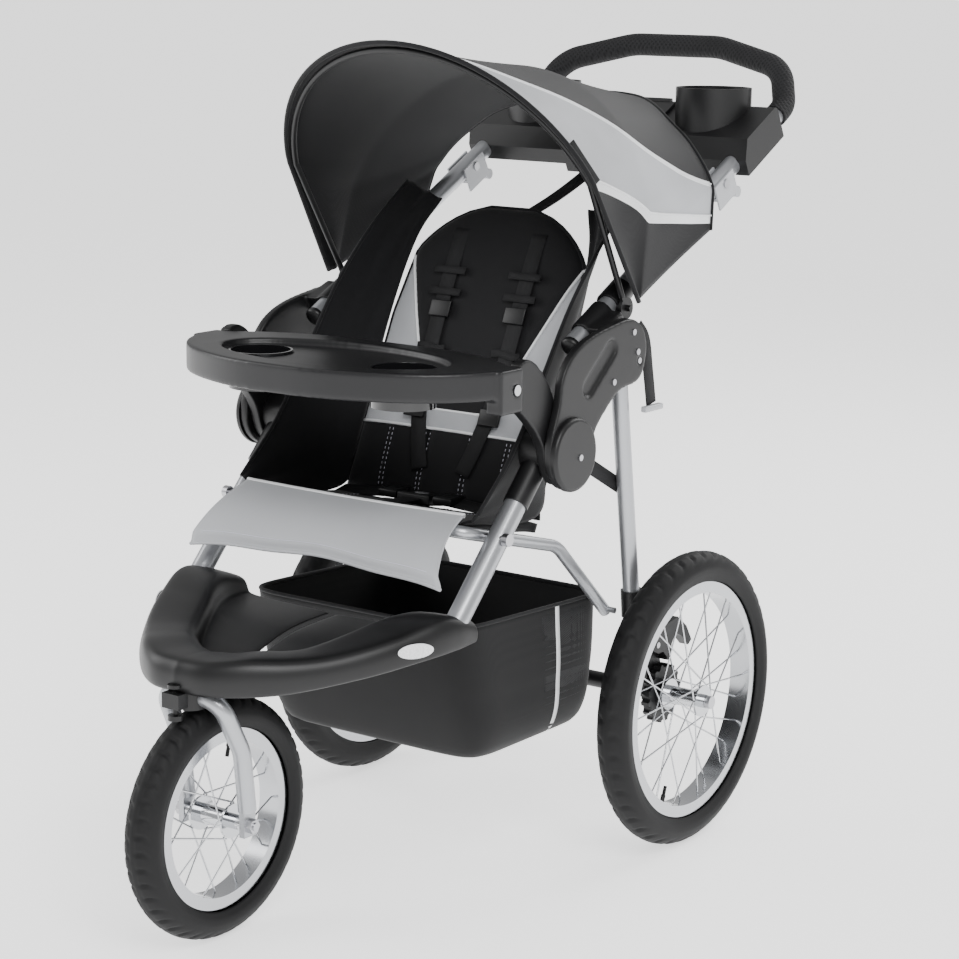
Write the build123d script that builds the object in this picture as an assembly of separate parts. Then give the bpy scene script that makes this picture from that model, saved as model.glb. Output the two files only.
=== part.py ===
from build123d import *
import os
from math import atan2, cos, degrees, hypot, radians, sin

# A three-wheeled folding jogging stroller.
# The model is drawn in millimetres with +Z up, the front of the stroller
# towards -Y and the right hand side towards +X.  Lengths along Y are measured
# from the rear axle while drawing, and FRAME_SHIFT moves every piece at export
# so that the origin lies under the middle of the whole stroller.

os.makedirs("parts", exist_ok=True)

# ---------------------------------------------------------------- clearances
RUN_GAP = 0.05        # radial gap of a shaft in its bore
BODY_GAP = 0.4        # gap between faces of pieces that move apart
SOFT_GAP = 0.6        # gap between webbing or cloth and what it lies on

# -------------------------------------------------------------------- wheels
WHEELBASE = 632.0
TRACK_HALF = 267.0
REAR_TYRE_R = 197.0
REAR_TYRE_W = 44.0
REAR_RIM_R = 158.0
FRONT_TYRE_R = 148.0
FRONT_TYRE_W = 46.0
FRONT_RIM_R = 110.5
RIM_DEPTH = 15.0
RIM_W = 30.0
HUB_FLANGE_R = 21.0
HUB_BARREL_R = 12.0
HUB_FLANGE_T = 3.0
HUB_BOSS_R = 9.0
REAR_BOSS = 6.0
SPOKE_R = 1.1
TYRE_WALL = 4.5
TYRE_SEAT_GAP = 0.2
BEAD_T = 5.0
BEAD_REACH = 5.0
RIM_LIP_T = 2.5
RIM_FLOOR_T = 4.5
REAR_SPOKES = 28
FRONT_SPOKES = 20
SPOKE_LEAD = 62.0       # degrees a spoke leans round the hub
SPOKE_SPREAD = 4.0
AXLE_R = 5.0
REAR_HUB_HALF = 27.0
FRONT_HUB_HALF = 26.0
FORK_X = 48.0
DROPOUT_T = 8.0
FRONT_BOSS = FORK_X - DROPOUT_T / 2 - BODY_GAP - FRONT_HUB_HALF
DRUM_R = 40.0
DRUM_W = 12.0
DRUM_TEETH = 16
NOTCH_R = 5.5
NOTCH_CENTRE_R = 41.0

# -------------------------------------------------------------- side layers
TUBE_X = 205.0        # centre plane of the handle and front tubes
FRONT_TUBE_R = 14.0
HANDLE_TUBE_R = 12.5
LEG_X = 215.0
LEG_R = 11.0
LINK_R = 8.0
LINK_X = 182.0
TUBE_WALL = 1.6
SOCKET_IN = 190.0
SOCKET_OUT = 221.0
ARM_OUT = 236.0
PLATE_IN = ARM_OUT + BODY_GAP
PLATE_T = 12.0
CAP_T = 8.0

# ---------------------------------------------------- pivots, as (y, z) pairs
HINGE = (-258.0, 562.0)        # handle frame on the front frame
LEG_PIVOT = (-106.0, 660.0)    # rear legs on the side plates
LINK_PIVOT = (-356.0, 469.0)   # seat link on the front tubes
STRUT_END = (-70.0, 316.0)     # seat link meets the rear legs
CANOPY_PIVOT = (-108.0, 725.0)
HINGE_PIN_R = 5.0
BOLT_R = 4.0

# ----------------------------------------------------------- handle and tray
HANDLE_SLOPE = 28.0
HANDLE_LOW = (-200.0, 683.5)
HANDLE_BEND_Y = 322.0
HANDLE_TOP = (370.0, 1036.0)
GRIP_START_Y = 297.0
GRIP_R = 16.0
CUP_OUT_R = 52.0
CUP_IN_R = 46.0
CUP_X = 140.0

# -------------------------------------------------------------------- canopy
BOW_R = 4.0
CANOPY_T = 3.0
FRONT_BOW_ANGLE = 122.0
MID_BOW_ANGLE = 76.0
BOW_SETBACK = 1.0       # degrees from the front rim of the cover back to its bow

# ---------------------------------------------------------------- soft goods
SEAT_HALF = 160.0
PAD_T = 16.0
BASKET_HALF = LINK_X - LINK_R - SOFT_GAP
BASKET_T = 2.5
WEB_T = 2.0
WEB_W = 24.0

FRONT_MOST = -(WHEELBASE + FRONT_TYRE_R)
REAR_MOST = HANDLE_TOP[0] + GRIP_R
FRAME_SHIFT = -(FRONT_MOST + REAR_MOST) / 2
WRITTEN = []


# ------------------------------------------------------------------- helpers
def export(name, *solids):
    """Write one node: every solid moved into the shared frame."""
    moved = [Pos(0, FRAME_SHIFT, 0) * s for s in solids]
    shape = moved[0] if len(moved) == 1 else Compound(children=moved)
    export_step(shape, f"parts/{name}.step")
    WRITTEN.append(name)


def mirrored(shape):
    return shape.mirror(Plane.YZ)


def both(shape):
    return shape, mirrored(shape)


def rod_x(radius, x0, x1, at):
    """A cylinder along X from x0 to x1 about the (y, z) point."""
    turned = Rotation(0, 90, 0) * Cylinder(radius, x1 - x0)
    return Pos((x0 + x1) / 2, at[0], at[1]) * turned


def box_between(x0, x1, y0, y1, z0, z1):
    block = Box(x1 - x0, y1 - y0, z1 - z0)
    return Pos((x0 + x1) / 2, (y0 + y1) / 2, (z0 + z1) / 2) * block


def plate_x(points, x0, x1):
    """A flat plate with a straight-sided (y, z) outline."""
    face = make_face(Polyline(*points, close=True))
    return extrude(Plane.YZ.offset(x0) * face, x1 - x0)


def smooth_plate_x(points, x0, x1):
    """A flat plate whose (y, z) outline is one closed smooth curve."""
    face = make_face(Spline(*points, periodic=True))
    return extrude(Plane.YZ.offset(x0) * face, x1 - x0)


def tube_along(points, radii, radius, bore=0.0):
    """A round bar, or a tube when bore is given, with filleted bends."""
    if len(points) == 2:
        path = Line(*points)
    else:
        path = FilletPolyline(*points, radius=radii)
    start = Vector(*points[0])
    plane = Plane(start, z_dir=Vector(*points[1]) - start)
    ring = Circle(radius) - Circle(bore) if bore else Circle(radius)
    return sweep(plane * ring, path=path)


def polar(at, distance, angle):
    """The (y, z) point at a distance and an angle from another one."""
    return (at[0] + distance * cos(radians(angle)), at[1] + distance * sin(radians(angle)))


# -------------------------------------------------------------------- wheels
def tyre(radius, width, rim_r):
    """A hollow tyre with a round tread, open towards the rim, with two beads in it."""
    centre = radius - width / 2
    seat_r = rim_r + TYRE_SEAT_GAP
    ring = Pos(centre, 0) * (Circle(width / 2) - Circle(width / 2 - TYRE_WALL))
    ring -= Pos(seat_r / 2, 0) * Rectangle(seat_r, 2 * width)
    for side in (-1, 1):
        bead_mid = side * (RIM_W / 2 - RIM_LIP_T - BEAD_T / 2 - TYRE_SEAT_GAP)
        ring += Pos(rim_r, bead_mid) * Rectangle(2 * BEAD_REACH, BEAD_T)
    return revolve(Plane.XZ * ring, Axis.Z)


def rim(rim_r):
    """A deep polished rim: a U section that holds the beads."""
    lip = Pos(rim_r - RIM_DEPTH / 2, 0) * Rectangle(RIM_DEPTH, RIM_W)
    floor_r = rim_r - RIM_DEPTH + RIM_FLOOR_T
    well = Pos((floor_r + rim_r + 1) / 2, 0) * Rectangle(rim_r + 1 - floor_r, RIM_W - 2 * RIM_LIP_T)
    return revolve(Plane.XZ * (lip - well), Axis.Z)


def hub(half, boss, bore):
    """A hub: a barrel, two spoke flanges and a short boss on each end."""
    body = Cylinder(HUB_BARREL_R, 2 * half)
    for side in (-1, 1):
        body += Pos(0, 0, side * (half - HUB_FLANGE_T / 2)) * Cylinder(HUB_FLANGE_R, HUB_FLANGE_T)
        body += Pos(0, 0, side * (half + boss / 2)) * Cylinder(HUB_BOSS_R, boss)
    return body - Cylinder(bore, 4 * half)


def spokes(count, half, rim_r):
    """Crossed spokes from the edges of the two hub flanges to the rim."""
    inner = HUB_FLANGE_R + SPOKE_R + 0.2
    outer = rim_r - RIM_DEPTH - 0.6
    made = []
    for i in range(count):
        side = 1 if i % 2 else -1
        turn = 360.0 / count * i
        lead = SPOKE_LEAD if (i // 2) % 2 else -SPOKE_LEAD
        a = Vector(inner, 0, side * (half - HUB_FLANGE_T / 2)).rotate(Axis.Z, turn + lead)
        b = Vector(outer, 0, side * SPOKE_SPREAD).rotate(Axis.Z, turn)
        made.append(tube_along([tuple(a), tuple(b)], None, SPOKE_R))
    return made


def upright(shape, x, y, z):
    """Turn a wheel piece from its own Z axis onto the X axle and place it."""
    return Pos(x, y, z) * (Rotation(0, 90, 0) * shape)


def brake_drum():
    """A notched disc on the inner end of a rear hub."""
    disc = Cylinder(DRUM_R, DRUM_W)
    for i in range(DRUM_TEETH):
        at = Vector(NOTCH_CENTRE_R, 0, 0).rotate(Axis.Z, 360.0 / DRUM_TEETH * i)
        disc -= Pos(at.X, at.Y, 0) * Cylinder(NOTCH_R, DRUM_W + 2)
    return disc - Cylinder(HUB_BOSS_R, DRUM_W + 2)


DRUM_X = TRACK_HALF - REAR_HUB_HALF - REAR_BOSS - DRUM_W / 2
for side_name, sign in (("right", 1), ("left", -1)):
    place = (sign * TRACK_HALF, 0, REAR_TYRE_R)
    export(f"{side_name}_rear_tyre", upright(tyre(REAR_TYRE_R, REAR_TYRE_W, REAR_RIM_R), *place))
    export(f"{side_name}_rear_rim", upright(rim(REAR_RIM_R), *place))
    export(f"{side_name}_rear_hub", upright(hub(REAR_HUB_HALF, REAR_BOSS, AXLE_R + RUN_GAP), *place))
    rear_set = spokes(REAR_SPOKES, REAR_HUB_HALF, REAR_RIM_R)
    export(f"{side_name}_rear_spokes", *[upright(s, *place) for s in rear_set])
    drum_solid = upright(brake_drum(), sign * DRUM_X, 0, REAR_TYRE_R)
    export(f"{side_name}_brake_drum", drum_solid)

front_place = (0, -WHEELBASE, FRONT_TYRE_R)
export("front_tyre", upright(tyre(FRONT_TYRE_R, FRONT_TYRE_W, FRONT_RIM_R), *front_place))
export("front_rim", upright(rim(FRONT_RIM_R), *front_place))
export("front_hub", upright(hub(FRONT_HUB_HALF, FRONT_BOSS, AXLE_R + RUN_GAP), *front_place))
front_set = spokes(FRONT_SPOKES, FRONT_HUB_HALF, FRONT_RIM_R)
export("front_spokes", *[upright(s, *front_place) for s in front_set])

# ---------------------------------------------------------------------- fork
STEER_Y = -677.0
FORK_R = 11.0
CROWN_Z = 309.0
CROWN_R = 22.0
CROWN_Z0 = 296.0
CROWN_Z1 = 320.5
STEM_R = 8.0
HEAD_R = 17.0
HEAD_Z0 = 324.0
HEAD_Z1 = 346.0
LOCK_R = 3.0
LOCK_Y = STEER_Y - 25.0
LOCK_LUG_HALF = 9.0
LOCK_TRAVEL = 8.0
LOCK_KNOB_R = 9.0
LOCK_KNOB_T = 6.0
axle_yz = (-WHEELBASE, FRONT_TYRE_R)
DROP_UP = 18.0

fork_points = [(FORK_X, -WHEELBASE, FRONT_TYRE_R + DROP_UP), (FORK_X, -641, 240), (FORK_X - 4, STEER_Y + 2, CROWN_Z)]
fork_points += [(-x, y, z) for x, y, z in reversed(fork_points)]
fork_radii = [60, 26, 26, 60]
fork = tube_along(fork_points, fork_radii, FORK_R, FORK_R - TUBE_WALL)
dropout = box_between(FORK_X - DROPOUT_T / 2, FORK_X + DROPOUT_T / 2, -WHEELBASE - 10, -WHEELBASE + 10,
                      FRONT_TYRE_R - 14, FRONT_TYRE_R + DROP_UP + 2)
dropout -= rod_x(AXLE_R + RUN_GAP, FORK_X - DROPOUT_T, FORK_X + DROPOUT_T, axle_yz)
fork = fork + dropout + mirrored(dropout)

crown = Pos(0, STEER_Y, (CROWN_Z0 + CROWN_Z1) / 2) * Cylinder(CROWN_R, CROWN_Z1 - CROWN_Z0)
crown += box_between(-13, 13, LOCK_Y - LOCK_LUG_HALF, STEER_Y, CROWN_Z - LOCK_LUG_HALF, CROWN_Z + LOCK_LUG_HALF)
crown -= tube_along(fork_points, fork_radii, FORK_R + RUN_GAP)
crown -= Pos(0, LOCK_Y, CROWN_Z) * Cylinder(LOCK_R + RUN_GAP, 40)
lug_z0 = CROWN_Z - LOCK_LUG_HALF
crown -= Pos(0, LOCK_Y, CROWN_Z0) * Cylinder(LOCK_KNOB_R + RUN_GAP, 2 * (lug_z0 - CROWN_Z0))
stem_z1 = HEAD_Z1 + BODY_GAP + 4
stem_z0 = CROWN_Z + FORK_R + RUN_GAP
crown += Pos(0, STEER_Y, (stem_z0 + stem_z1) / 2) * Cylinder(STEM_R, stem_z1 - stem_z0)
crown += Pos(0, STEER_Y, HEAD_Z1 + BODY_GAP + 2) * Cylinder(STEM_R + 4, 4)
export("fork_tube", fork)
export("fork_crown", crown)

axle = rod_x(AXLE_R, -FORK_X - 14, FORK_X + 14, axle_yz)
NUT_T = 8.0
nut = Pos(FORK_X + DROPOUT_T / 2 + RUN_GAP, *axle_yz) * extrude(Plane.YZ * RegularPolygon(9, 6), NUT_T)
export("front_axle", axle + nut + mirrored(nut))

LOCK_KNOB_Z = CROWN_Z - LOCK_LUG_HALF - LOCK_TRAVEL - 1 - LOCK_KNOB_T / 2
LOCK_PIN_TOP = HEAD_Z0 - 5.0
knob = Pos(0, LOCK_Y, LOCK_KNOB_Z) * Cylinder(LOCK_KNOB_R, LOCK_KNOB_T)
knob += Pos(0, LOCK_Y, (LOCK_KNOB_Z + LOCK_PIN_TOP) / 2) * Cylinder(LOCK_R, LOCK_PIN_TOP - LOCK_KNOB_Z)
export("swivel_lock_knob", knob)

# --------------------------------------------------------------- front frame
FRONT_ANGLE = degrees(atan2(383 - HINGE[1], -428 - HINGE[0]))
SOCKET_LEN = 82.0
SLEEVE_T = 1.8
SOCKET_DISC_R = 30.0
TUBE_TOP = polar(HINGE, 34, FRONT_ANGLE)
SHELL_BEND = polar(HINGE, 274, FRONT_ANGLE)
HEAD_TUBE_Z = 336.0
front_points = [(TUBE_X, *TUBE_TOP), (TUBE_X - 1, *SHELL_BEND),
                (95, -606, HEAD_TUBE_Z + 4), (0, STEER_Y, HEAD_TUBE_Z)]
front_radii = [60, 80]
head_cut = Pos(0, STEER_Y, HEAD_TUBE_Z) * Cylinder(HEAD_R, 80)
half_space = box_between(0, 400, -1000, 0, 0, 1000)
front_tube = tube_along(front_points, front_radii, FRONT_TUBE_R, FRONT_TUBE_R - TUBE_WALL)
front_tube = (front_tube - head_cut) & half_space
front_tube -= rod_x(BOLT_R + RUN_GAP, LINK_X, TUBE_X + 2 * FRONT_TUBE_R, LINK_PIVOT)
export("front_tubes", *both(front_tube))

LOCK_TAB_T = 4.0
NOSE_SLOT_HALF = 17.0
head = Pos(0, STEER_Y, (HEAD_Z0 + HEAD_Z1) / 2) * Cylinder(HEAD_R, HEAD_Z1 - HEAD_Z0)
lock_tab = Pos(0, LOCK_Y, HEAD_Z0 + LOCK_TAB_T / 2) * Cylinder(LOCK_KNOB_R, LOCK_TAB_T)
lock_tab += box_between(-LOCK_KNOB_R, LOCK_KNOB_R, LOCK_Y, STEER_Y, HEAD_Z0, HEAD_Z0 + LOCK_TAB_T)
lock_tab -= Pos(0, LOCK_Y, HEAD_Z0) * Cylinder(LOCK_R + 0.3, 20)
head += lock_tab
head -= Pos(0, STEER_Y, HEAD_Z0) * Cylinder(STEM_R + RUN_GAP, 80)
export("head_tube", head)

socket = tube_along([(TUBE_X, *polar(HINGE, 20, FRONT_ANGLE)),
                     (TUBE_X, *polar(HINGE, SOCKET_LEN, FRONT_ANGLE))], None, FRONT_TUBE_R + SLEEVE_T)
socket += rod_x(SOCKET_DISC_R, SOCKET_IN, SOCKET_OUT, HINGE)
socket -= tube_along(front_points, front_radii, FRONT_TUBE_R + RUN_GAP)
socket -= rod_x(HINGE_PIN_R + RUN_GAP, SOCKET_IN - 10, SOCKET_OUT + 10, HINGE)
export("front_sockets", *both(socket))

SEAM_Y = -353.0
SEAM_Z0 = 627.0
arm_curve = [(SEAM_Y, 682), (-330, 686), (-308, 671), (-286, 645), (-264, 612), (-226, 584),
             (-216, 556), (-236, 528), (-270, 524), (-290, 546), (-300, 574), (-322, 602),
             (SEAM_Y, SEAM_Z0)]
arm_face = make_face([Spline(*arm_curve), Line(arm_curve[-1], arm_curve[0])])
arm = extrude(Plane.YZ.offset(SOCKET_OUT) * arm_face, ARM_OUT - SOCKET_OUT)
TONGUE = dict(x0=SOCKET_OUT + 2, x1=ARM_OUT - 3, z0=642.0, z1=670.0)
TONGUE_LEN = 36.0
tongue = box_between(TONGUE["x0"], TONGUE["x1"], SEAM_Y - TONGUE_LEN, SEAM_Y + 1, TONGUE["z0"], TONGUE["z1"])
BUTTON_YZ = (SEAM_Y - 15.0, 655.0)
BUTTON_R = 6.5
BUTTON_TRAVEL = 3.0
tongue -= rod_x(BUTTON_R + 1, TONGUE["x1"] - 2 * BUTTON_TRAVEL, TONGUE["x1"] + 1, BUTTON_YZ)
arm = arm + tongue
arm -= rod_x(HINGE_PIN_R + RUN_GAP, SOCKET_OUT - 10, ARM_OUT + 10, HINGE)
export("tray_arms", *both(arm))

HEAD_T = 4.0
link_in = LINK_X - LINK_R - BODY_GAP
link_out = TUBE_X + FRONT_TUBE_R + RUN_GAP
pin = rod_x(HINGE_PIN_R, SOCKET_IN - HEAD_T, PLATE_IN + PLATE_T - 1, HINGE)
pin += rod_x(2 * HINGE_PIN_R, SOCKET_IN - HEAD_T, SOCKET_IN, HINGE)
link_bolt = rod_x(BOLT_R, link_in - HEAD_T, link_out + 2 * HEAD_T, LINK_PIVOT)
link_bolt += rod_x(2 * BOLT_R, link_out, link_out + 2 * HEAD_T, LINK_PIVOT)
link_bolt += rod_x(1.6 * BOLT_R, link_in - HEAD_T, link_in, LINK_PIVOT)
export("front_pivot_bolts", *both(pin), *both(link_bolt))

# ------------------------------------------------------------ footrest shell
SHELL_T = 3.0
NOSE_Y = -704.0
SHELL_BACK = -410.0
SHELL_HALF = 221.0
nose = [(0, NOSE_Y), (48, NOSE_Y + 8), (104, NOSE_Y + 52), (170, -566), (209, -490), (SHELL_HALF, -448),
        (SHELL_HALF, SHELL_BACK)]
well = [(0, -640), (40, -618), (80, -592), (118, -530), (150, -462), (154, SHELL_BACK - 2 * SHELL_T)]
shell_low = [(NOSE_Y - 10, 318), (-640, 320), (-566, 332), (-469, 348), (SHELL_BACK + 5, 352)]
shell_high = [(NOSE_Y - 10, 354), (-676, 357), (-640, 352), (-600, 353), (-520, 372), (-456, 390),
              (-430, 384), (SHELL_BACK + 5, 374)]


def inset(points, distance):
    """The points of a half outline, from x = 0 outwards, moved inwards by a distance."""
    chain = [(-points[1][0], points[1][1])] + points + [points[-1]]
    moved = []
    for before, at, after in zip(chain, chain[1:], chain[2:]):
        run = hypot(after[0] - before[0], after[1] - before[1])
        moved.append((at[0] - distance * (after[1] - before[1]) / run,
                      at[1] + distance * (after[0] - before[0]) / run))
    return moved


def half_outline(points):
    """A plan face from half an outline with a smooth front and a straight back."""
    mirrored_half = [(-x, y) for x, y in reversed(points)]
    front = Spline(*(mirrored_half + points[1:]))
    return make_face([front, Line(points[-1], mirrored_half[0])])


def between_heights(low, high, low_lift, high_lift):
    """A wide block whose underside and top follow two (y, z) lines."""
    outline = [(y, z + low_lift) for y, z in low] + [(y, z + high_lift) for y, z in reversed(high)]
    return plate_x(outline, -300, 300)


shell_plan = extrude(Plane.XY.offset(280) * half_outline(nose), 140)
well_plan = extrude(Plane.XY.offset(280) * half_outline(well), 140)
well_wall = extrude(Plane.XY.offset(280) * half_outline(inset(well, -SHELL_T)), 140)
under_plan = extrude(Plane.XY.offset(280) * half_outline(inset(nose, SHELL_T)), 140)
block = shell_plan & between_heights(shell_low, shell_high, 0, 0)
underside = (under_plan & between_heights(shell_low, shell_high, -20, -SHELL_T)) - well_wall
hollow = well_plan & between_heights(shell_low, shell_high, SHELL_T, 20)
shell = block - underside - hollow
shell -= box_between(-NOSE_SLOT_HALF, NOSE_SLOT_HALF, NOSE_Y - 20, STEER_Y, 280, HEAD_Z0 + LOCK_TAB_T + 3)
tube_room = tube_along(front_points, front_radii, FRONT_TUBE_R + 0.3)
shell = shell - tube_room - mirrored(tube_room)
export("footrest_shell", shell)

REFLECTOR_AT = (-508.0, 360.0)
reflector = extrude(Plane.YZ * Ellipse(23, 9), 2.5)
reflector = Pos(200.5, *REFLECTOR_AT) * (Rotation(0, 0, -28) * reflector)
reflector = reflector - block
export("reflectors", *both(reflector))

# ---------------------------------------------------------------- child tray
TRAY_Z0 = 646.0
TRAY_Z1 = 681.0
TRAY_FRONT = -528.0
TRAY_BACK = -296.0
TRAY_WALL = 12.0
TRAY_SHEET = 8.0
TRAY_RECESS = 9.0
TRAY_CUP_R = 40.0
TRAY_CUP_WALL = 2.5
TRAY_CUP_Z0 = 628.0
TRAY_CUP_AT = (112.0, -418.0)
TRAY_END = 242.0
TRAY_IN = SOCKET_OUT - 2
TRAY_SEAM = SEAM_Y - BODY_GAP
tray_edge = [(0, TRAY_FRONT), (60, TRAY_FRONT + 3), (130, -504), (196, -462), (232, -410), (TRAY_END, -372)]
tray_rear = [(0, TRAY_BACK), (120, TRAY_BACK - 8), (190, TRAY_BACK - 36), (TRAY_IN, TRAY_SEAM)]


def two_sided(points):
    """A smooth curve through a half outline and its mirror image."""
    return Spline(*([(-x, y) for x, y in reversed(points)] + points[1:]))


tray_sides = []
for s in (1, -1):
    corner = (s * TRAY_END, TRAY_SEAM)
    tray_sides += [Line((s * TRAY_END, tray_edge[-1][1]), corner), Line(corner, (s * TRAY_IN, TRAY_SEAM))]
tray_plan = make_face([two_sided(tray_edge), two_sided(tray_rear)] + tray_sides)
tray = extrude(Plane.XY.offset(TRAY_Z0) * tray_plan, TRAY_Z1 - TRAY_Z0)
under_front = inset(tray_edge[:4], TRAY_WALL)
under_rear = [(x, y - TRAY_WALL) for x, y in tray_rear[:3]]
under_sides = [Line((s * under_front[-1][0], under_front[-1][1]), (s * under_rear[-1][0], under_rear[-1][1]))
               for s in (1, -1)]
under_face = make_face([two_sided(under_front), two_sided(under_rear)] + under_sides)
sheet_z = TRAY_Z1 - TRAY_RECESS - TRAY_SHEET
tray -= extrude(Plane.XY.offset(TRAY_Z0 - 5) * under_face, sheet_z - TRAY_Z0 + 5)
tray -= Pos(0, -412, TRAY_Z1 - TRAY_RECESS) * extrude(Ellipse(166, 82), 2 * TRAY_RECESS)
side_block = box_between(TRAY_IN, TRAY_END, SEAM_Y - 46, TRAY_SEAM, SEAM_Z0, TRAY_Z1)
pocket = box_between(TONGUE["x0"] - BODY_GAP, TONGUE["x1"] + BODY_GAP, SEAM_Y - TONGUE_LEN - 1, SEAM_Y + 1,
                     TONGUE["z0"] - BODY_GAP, TONGUE["z1"] + BODY_GAP)
pocket += rod_x(BUTTON_R + RUN_GAP, TONGUE["x1"] - 1, TRAY_END + 4, BUTTON_YZ)
for solid in both(side_block):
    tray += solid
for solid in both(pocket):
    tray -= solid
cup_height = TRAY_Z1 - TRAY_RECESS + 3 - TRAY_CUP_Z0
cup = Cylinder(TRAY_CUP_R, cup_height) - Pos(0, 0, TRAY_CUP_WALL) * Cylinder(TRAY_CUP_R - TRAY_CUP_WALL, cup_height)
cup = Pos(*TRAY_CUP_AT, TRAY_CUP_Z0 + cup_height / 2) * cup
for s in (1, -1):
    tray -= Pos(s * TRAY_CUP_AT[0], TRAY_CUP_AT[1], TRAY_Z1) * Cylinder(TRAY_CUP_R + RUN_GAP, 80)
export("child_tray", tray)
export("tray_cups", *both(cup))

button = rod_x(BUTTON_R, TONGUE["x1"] + BODY_GAP, TRAY_END + 1.6, BUTTON_YZ)
export("tray_button_right", button)
export("tray_button_left", mirrored(button))

# --------------------------------------------------------------- side plates
plate_outline = [(-283, 640), (-272, 670), (-240, 694), (-202, 706), (-160, 713), (-118, 713), (-96, 696),
                 (-92, 660), (-104, 638), (-148, 628), (-180, 608), (-206, 582), (-216, 552), (-236, 524),
                 (-272, 520), (-298, 544), (-300, 586)]
plate = smooth_plate_x(plate_outline, PLATE_IN, PLATE_IN + PLATE_T)
slot_a = (-172.0, 682.0)
slot_b = (-222.0, 640.0)
slot_angle = degrees(atan2(slot_a[1] - slot_b[1], slot_a[0] - slot_b[0]))
slot_len = hypot(slot_a[0] - slot_b[0], slot_a[1] - slot_b[1])
slot = extrude(Plane.YZ * (Rotation(0, 0, slot_angle) * SlotCenterToCenter(slot_len, 24)), 8)
plate -= Pos(PLATE_IN + PLATE_T - 4, (slot_a[0] + slot_b[0]) / 2, (slot_a[1] + slot_b[1]) / 2) * slot


def on_handle(y):
    """The (y, z) point of the handle tube's axis at a given y."""
    return (y, HANDLE_LOW[1] + (y - HANDLE_LOW[0]) * sin(radians(HANDLE_SLOPE)) / cos(radians(HANDLE_SLOPE)))


SOCKET_A = on_handle(-176.0)
SOCKET_B = on_handle(-128.0)
boss = tube_along([(TUBE_X, *SOCKET_A), (TUBE_X, *SOCKET_B)], None, HANDLE_TUBE_R + 3.5)
boss += plate_x([(SOCKET_A[0] + 4, SOCKET_A[1] - 8), (SOCKET_B[0] + 4, SOCKET_B[1] - 10),
                 (SOCKET_B[0] - 6, SOCKET_B[1] + 3), (SOCKET_A[0] - 6, SOCKET_A[1] + 10)], TUBE_X, PLATE_IN + 1)
boss -= tube_along([(TUBE_X, *on_handle(-240)), (TUBE_X, *on_handle(-60))], None, HANDLE_TUBE_R + RUN_GAP)
leg_boss = rod_x(12, LEG_X + LEG_R + BODY_GAP, PLATE_IN + 1, LEG_PIVOT)
plate = plate + boss + leg_boss
plate -= rod_x(HINGE_PIN_R + RUN_GAP, SOCKET_IN, PLATE_IN + PLATE_T + 1, HINGE)
plate -= rod_x(BOLT_R + RUN_GAP, LEG_X - 20, PLATE_IN + PLATE_T + 1, LEG_PIVOT)
export("side_plates", *both(plate))

CAP_R = 46.0
cap_disc = rod_x(CAP_R, PLATE_IN + PLATE_T, PLATE_IN + PLATE_T + CAP_T, HINGE)
cap_disc = fillet(cap_disc.edges().group_by(Axis.X)[-1], 5)
export("hinge_caps", *both(cap_disc))

leg_bolt = rod_x(BOLT_R, LEG_X - LEG_R - BODY_GAP - HEAD_T, PLATE_IN + PLATE_T, LEG_PIVOT)
leg_bolt += rod_x(1.6 * BOLT_R, LEG_X - LEG_R - BODY_GAP - HEAD_T, LEG_X - LEG_R - BODY_GAP, LEG_PIVOT)
LATCH_Y = 142.0
LATCH_BOLT_R = 3.0
CHEEK_T = 2.6
latch_at = on_handle(LATCH_Y)
cheek_in = HANDLE_TUBE_R + BODY_GAP
cheek_out = cheek_in + CHEEK_T + BODY_GAP
latch_bolt = rod_x(LATCH_BOLT_R, TUBE_X - cheek_out - 2, TUBE_X + cheek_out + 2, latch_at)
for x0 in (TUBE_X + cheek_out, TUBE_X - cheek_out - 2):
    latch_bolt += rod_x(2 * LATCH_BOLT_R, x0, x0 + 2, latch_at)
SCREW_R = 4.0
SCREW_T = 1.5
plate_out = PLATE_IN + PLATE_T
screws = [rod_x(SCREW_R, plate_out, plate_out + SCREW_T, at) for at in ((-122, 698), (-112, 672), (-166, 640))]
screws.append(rod_x(SCREW_R, plate_out + CAP_T, plate_out + CAP_T + SCREW_T, (HINGE[0] + 8, HINGE[1] - 4)))
fasteners = [leg_bolt, latch_bolt] + screws
export("upper_pivot_bolts", *fasteners, *[mirrored(piece) for piece in fasteners])

# ----------------------------------------------------------------- handlebar
bend = on_handle(HANDLE_BEND_Y)
handle_right = [(TUBE_X, *HANDLE_LOW), (TUBE_X, *bend), (182, 353, 1010), (72, *HANDLE_TOP)]
handle_points = handle_right + [(-x, y, z) for x, y, z in reversed(handle_right)]
handle_radii = [40, 55, 110, 110, 55, 40]
handlebar = tube_along(handle_points, handle_radii, HANDLE_TUBE_R, HANDLE_TUBE_R - TUBE_WALL)
for bolt_x in (TUBE_X, -TUBE_X):
    handlebar -= rod_x(LATCH_BOLT_R + RUN_GAP, bolt_x - 20, bolt_x + 20, latch_at)
export("handlebar", handlebar)

grip_end = (TUBE_X, *on_handle(GRIP_START_Y))
grip_points = [grip_end] + handle_points[1:-1] + [(-TUBE_X, grip_end[1], grip_end[2])]
grip = tube_along(grip_points, handle_radii, GRIP_R, HANDLE_TUBE_R + 0.02)
export("handle_grip", grip)

# ---------------------------------------------------------------- parent tray
TRAY_MID_Y = 228.0
TRAY_HALF_X = 229.0
DECK_LOW = -15.0
DECK_HIGH = 33.0
DECK_HALF = 52.0
DECK_WALL = 3.0
DECK_SLOPE = 16.0
BIN_HALF = 76.0
BIN_LOW = -34.0
tilt = Pos(0, *on_handle(TRAY_MID_Y)) * Rotation(HANDLE_SLOPE, 0, 0)


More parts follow.
